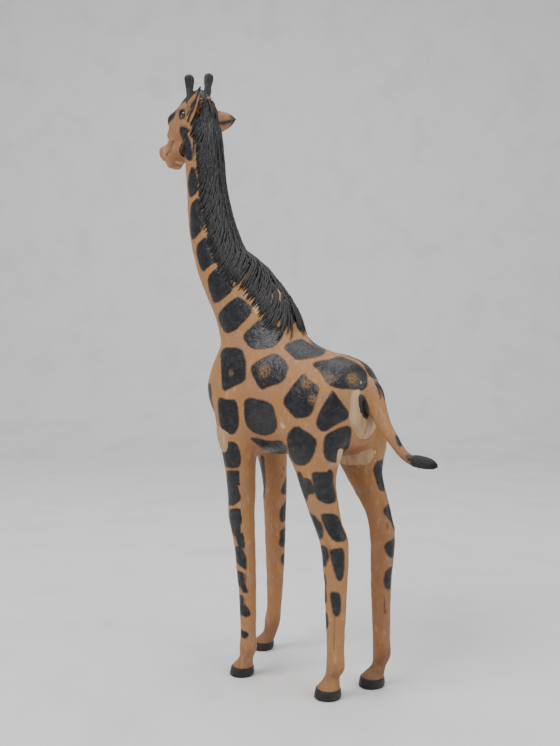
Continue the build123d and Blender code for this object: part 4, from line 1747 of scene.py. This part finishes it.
# ---------------------------------------------------------------- ears, horns and hooves
@dataclass(frozen=True)
class Ear:
    """A leather leaf folded to a hollow and drawn to a point, in millimetres."""

    name: str
    base: Point
    way: Point
    facing: Point
    length: float
    half_width: float
    cup: float = 10.5
    thickness: float = 1.7

    def build(self, material: bpy.types.Material) -> None:
        """Make the leaf as a closed grid, front and back."""
        along = np.array(self.way) / np.linalg.norm(self.way)
        facing = np.array(self.facing) - along * (np.array(self.facing) @ along)
        facing /= np.linalg.norm(facing)
        across = np.cross(facing, along)
        rows, columns = 30, 17
        front, back, paint, shade = [], [], [], []
        for u in np.linspace(0, 1, rows):
            outline = self.half_width * (
                0.42 * (1 - u) ** 2 + math.sin(math.pi * min(u, 0.995) ** 0.85) ** 0.8
            )
            for v in np.linspace(-1, 1, columns):
                side = outline * v
                depth = self.cup - math.sqrt(max(self.cup**2 - side**2, 1.0))
                curl = 1.6 * u**2 * abs(v)
                ripple = 0.35 * math.sin(9 * u + 4 * v)
                middle = np.array(self.base) + along * (u * self.length - 0.6 * abs(v))
                middle = middle + across * side * 0.93 + facing * (depth + ripple + curl)
                half = self.thickness / 2 * (1 - 0.55 * abs(v) ** 3) * (1 - 0.6 * u**4)
                inward = facing - across * side / self.cup
                inward /= np.linalg.norm(inward)
                front.append(middle + inward * half)
                back.append(middle - inward * half)
                # front: black down the cupped hollow, the ear's own dark stripe with painted shadow inside
                # the hollow; back: a narrow black stripe
                hollow = abs(v) - 0.30 + 0.16 * math.sin(11 * u)
                tip = (0.86 - u) * 9
                paint.append((min(hollow * 6, tip), min((0.80 - u) * 9, (abs(v - 0.15) - 0.12) * 9)))
                shade.append(0.25 + 0.35 * u)
        count = rows * columns
        faces = []
        for i in range(rows - 1):
            for j in range(columns - 1):
                a = i * columns + j
                faces.append((a, a + 1, a + columns + 1, a + columns))
                faces.append((count + a, count + a + columns, count + a + columns + 1, count + a + 1))
        ring = [j for j in range(columns)]
        ring += [i * columns + columns - 1 for i in range(1, rows)]
        ring += [(rows - 1) * columns + j for j in range(columns - 2, -1, -1)]
        ring += [i * columns for i in range(rows - 2, 0, -1)]
        for a, b in zip(ring, ring[1:] + ring[:1]):
            faces.append((b, a, a + count, b + count))
        piece = mesh_object(self.name, np.array(front + back), faces, material)
        work = bmesh.new()
        work.from_mesh(piece.data)
        bmesh.ops.recalc_face_normals(work, faces=work.faces)
        work.to_mesh(piece.data)
        work.free()
        values = np.array(paint)
        set_values(piece, "paint", np.r_[values[:, 0], values[:, 1]])
        set_values(piece, "shade", np.tile(np.array(shade), 2))
        set_values(piece, "wear", np.zeros(2 * count))
        set_values(piece, "folds", np.zeros(2 * count))
        declare(piece, "hide_leather", self.name.replace("_leaf", ""))


def turned(name: str, rings: list[Array], material: bpy.types.Material) -> bpy.types.Object:
    """Skin a stack of rings of equal size and close both ends.

    Args:
        name: the piece's name.
        rings: rows of places, one ring after another from bottom to top, anticlockwise from above.
        material: what it is dressed in.

    Returns:
        The closed piece.
    """
    size = len(rings[0])
    points = np.vstack([*rings, rings[0].mean(axis=0), rings[-1].mean(axis=0)])
    faces = []
    for i in range(len(rings) - 1):
        for j in range(size):
            a, b = i * size + j, i * size + (j + 1) % size
            faces.append((a, b, b + size, a + size))
    bottom, top = len(points) - 2, len(points) - 1
    last = (len(rings) - 1) * size
    for j in range(size):
        faces.append((bottom, (j + 1) % size, j))
        faces.append((top, last + j, last + (j + 1) % size))
    return mesh_object(name, points, faces, material)


@dataclass(frozen=True)
class Horn:
    """A blunt horn with a rounded knob and a hairy foot."""

    name: str
    seat: Point
    way: Point
    length: float
    shaft: float = 4.4
    knob: float = 5.6

    def build(self, material: bpy.types.Material) -> None:
        """Make the horn as a stack of uneven rings."""
        up = np.array(self.way) / np.linalg.norm(self.way)
        side = np.cross(up, [0, 1, 0])
        side /= np.linalg.norm(side)
        other = np.cross(up, side)
        profile = np.array(
            [
                (-5.0, self.shaft + 0.5),
                (0.0, self.shaft + 0.9),
                (4.0, self.shaft + 0.2),
                (0.45 * self.length, self.shaft - 0.2),
                (self.length - 3.0 * self.knob, self.shaft - 0.3),
                (self.length - 2.1 * self.knob, self.shaft + 0.5),
                (self.length - 1.1 * self.knob, self.knob),
                (self.length - 0.55 * self.knob, self.knob * 0.90),
                (self.length - 0.16 * self.knob, self.knob * 0.52),
                (self.length, self.knob * 0.10),
            ]
        )
        dense = smooth_line(profile, 6)
        rings = []
        turns = np.linspace(0, 2 * math.pi, 33)[:-1]
        for height, radius in dense:
            ring = (
                np.array(self.seat)
                + up * height
                + max(radius, 0.2) * (np.cos(turns)[:, None] * side + np.sin(turns)[:, None] * other)
            )
            flutes = 0.14 * np.sin(turns * 9 + height * 0.12) * fade(
                np.array([height]), self.length - 5, 6
            )[0]
            bumps = 0.30 * noise(ring, 5.0, 51) + 0.16 * noise(ring * np.array([1, 1, 0.3]), 1.6, 52)
            out = ring - (np.array(self.seat) + up * height)
            ring = ring + out / np.linalg.norm(out, axis=1, keepdims=True) * (bumps + flutes - 0.2)[:, None]
            rings.append(ring)
        if np.cross(side, other) @ up < 0:
            rings = [ring[::-1] for ring in rings]
        declare(turned(f"{self.name}_knobbed", rings, material), "black_wood", self.name)


@dataclass(frozen=True)
class Hoof:
    """A hoof: rounded at the sole, hollowed under the hide's edge and cleft in front."""

    leg: Leg
    cleft: float = 1.5
    proud: float = 0.8

    def build(self, material: bpy.types.Material) -> None:
        """Make the hoof as a stack of cleft rings."""
        _, dx, dy, wide, deep = self.leg.sections[0]
        sole = np.array([self.leg.x, self.leg.y, 0.0])
        top = np.array([self.leg.x + dx, self.leg.y + dy, HOOF_TOP])
        turns = np.linspace(0, 2 * math.pi, 97)[:-1]
        rings = []
        inset = ((0.0, 3.0), (0.0, 1.2), (0.25, 0.5), (0.8, 0.1), (1.6, 0.0))
        levels = [(z, cut) for z, cut in inset] + [(z, 0.0) for z in (3.2, 5.0, 6.8)]
        levels += [(8.0, 0.05), (8.7, 0.35), (8.95, 0.9), (9.0, 3.0)]
        for z, cut in levels:
            share = z / HOOF_TOP
            centre = sole * (1 - share) + top * share
            bulge = 0.35 * math.sin(math.pi * share)
            a = self.leg.sole[0] * (1 - share) + (wide + self.proud) * share + bulge - cut
            b = self.leg.sole[1] * (1 - share) + (deep + self.proud) * share + bulge - cut
            front = np.exp(-(((turns + math.pi / 2 + math.pi) % (2 * math.pi) - math.pi) / 0.10) ** 2)
            notch = self.cleft * front * (1 - 0.45 * share)
            wave = 0.10 * np.sin(turns * 5 + z) + 0.12 * np.sin(z * 2.4)
            ring = np.stack([(a - notch + wave) * np.cos(turns), (b - notch + wave) * np.sin(turns)], axis=1)
            rings.append(np.column_stack([ring + centre[:2], np.full(len(turns), z)]))
        declare(turned(f"{self.leg.name}_hoof_cleft", rings, material), "black_wood", f"{self.leg.name}_hoof")


# ---------------------------------------------------------------- inner pieces, studio and camera
def dress_inner_pieces() -> None:
    """Give every CAD piece that stays its own finish."""
    core = WoodFinish("carved_softwood", (0.52, 0.36, 0.20), (0.36, 0.21, 0.10)).material()
    dowel = WoodFinish("birch_dowel", (0.66, 0.50, 0.31), (0.52, 0.36, 0.20), 3.0).material()
    wire = WireFinish().material()
    glass = EyeFinish().material()
    for name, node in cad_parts.items():
        if name.endswith("_core"):
            chosen = core
        elif name.endswith("_dowel"):
            chosen = dowel
        elif name.endswith("_wire"):
            chosen = wire
        elif name.endswith("_eye"):
            chosen = glass
        else:
            continue
        node.data.materials.clear()
        node.data.materials.append(chosen)
        log.info("%s: dressed", name)


@dataclass(frozen=True)
class Studio:
    """The pale floor that rises into a backdrop, soft lights and the camera, in metres."""

    lens: float = 37.0
    camera_place: Point = (0.6028, 0.4794, 0.300)
    camera_turn: float = 129.0
    floor_depth: float = 1.9
    bend: float = 0.8
    wall: float = 3.2
    half_width: float = 4.0

    def floor(self) -> None:
        """Sweep the floor up into the wall behind the figure, square to the camera."""
        angle = math.radians(self.camera_turn)
        away = Vector((-math.sin(angle), math.cos(angle), 0))
        right = Vector((math.cos(angle), math.sin(angle), 0))
        outline = [(-2.5, 0.0), (0.0, 0.0), (self.floor_depth, 0.0)]
        for k in range(1, 13):
            t = k / 12 * math.pi / 2
            outline.append((self.floor_depth + self.bend * math.sin(t), self.bend * (1 - math.cos(t))))
        outline.append((self.floor_depth + self.bend, self.wall))
        rows = [
            away * d + right * w + Vector((0, 0, h)) for d, h in outline for w in (
                -self.half_width, self.half_width
            )
        ]
        faces = [(2 * i, 2 * i + 1, 2 * i + 3, 2 * i + 2) for i in range(len(outline) - 1)]
        mesh = bpy.data.meshes.new("studio_floor")
        mesh.from_pydata(rows, [], faces)
        mesh.polygons.foreach_set("use_smooth", [True] * len(faces))
        mesh.materials.append(FloorFinish().material())
        floor = bpy.data.objects.new("studio_floor", mesh)
        bpy.context.scene.collection.objects.link(floor)

    def light(self, name: str, place: Point, size: float, power: float, colour: Colour) -> None:
        """Hang one soft area light that looks at the figure's middle."""
        data = bpy.data.lights.new(name, "AREA")
        data.shape = "SQUARE"
        data.size = size
        data.energy = power
        data.color = colour
        lamp = bpy.data.objects.new(name, data)
        lamp.location = place
        lamp.rotation_euler = (Vector((0, 0, 0.3)) - Vector(place)).to_track_quat("-Z", "Y").to_euler()
        bpy.context.scene.collection.objects.link(lamp)

    def build(self) -> None:
        """Make the floor, the lights, the soft surroundings and the camera."""
        self.floor()
        self.light("key", (1.9, -0.5, 2.3), 1.6, 62.0, (1.0, 0.985, 0.96))
        self.light("fill", (-0.3, 2.2, 1.5), 2.2, 34.0, (0.96, 0.98, 1.0))
        self.light("top", (-0.3, -0.2, 2.6), 1.8, 26.0, (1.0, 1.0, 1.0))
        world = bpy.data.worlds.new("soft_surroundings")
        world.use_nodes = True
        world.node_tree.nodes["Background"].inputs["Color"].default_value = (0.93, 0.95, 1.0, 1.0)
        world.node_tree.nodes["Background"].inputs["Strength"].default_value = 0.42
        bpy.context.scene.world = world
        data = bpy.data.cameras.new("camera")
        data.lens = self.lens
        data.sensor_width = 36.0
        camera = bpy.data.objects.new("camera", data)
        home = Vector(SHIFT * MM)
        camera.location = Vector(self.camera_place) + home
        camera.rotation_euler = (math.pi / 2, 0.0, math.radians(self.camera_turn))
        bpy.context.scene.collection.objects.link(camera)
        bpy.context.scene.camera = camera


def main() -> None:
    """Build the studio, the leather and everything on it, in order."""
    logging.basicConfig(level=logging.INFO, format="%(message)s")
    trunk = Trunk()
    Studio().build()
    dress_inner_pieces()
    leather = HideFinish().material()
    hair = BlackFinish("black_painted_hair", stretch=(0.8, 0.8, 6), dusty=0.9, chipped=0.12).material()
    horn = BlackFinish(
        "black_knobbed_horn", stretch=(1, 1, 2), dusty=0.5, chipped=0.5, base_rough=0.4
    ).material()
    hoof = BlackFinish("black_lacquered_hoof", stretch=(1, 1, 0.6), dusty=0.45, base_rough=0.3).material()
    body = Hide(trunk).build(leather)
    Mane(trunk).build(body, hair)
    Tuft(trunk).build(hair)
    at = trunk.on_head
    Ear("left_ear_leaf", at(15.8, -4, -9), (-0.06, 0.50, 1.0), (1, 0.1, 0), 39.0, 6.8).build(leather)
    Ear("right_ear_leaf", at(-11.0, -19, -6), (-0.93, 0.42, 0.30), (0.3, -1, 0), 26.5, 10.6).build(leather)
    Horn("left_horn", at(10.5, -2, 13), (0.02, -0.06, 1), 32.0).build(horn)
    Horn("right_horn", at(-9.0, -6, 13), (-0.19, -0.05, 1), 41.0).build(horn)
    for leg in LEGS:
        Hoof(leg).build(hoof)


if __name__ == "__main__":
    main()
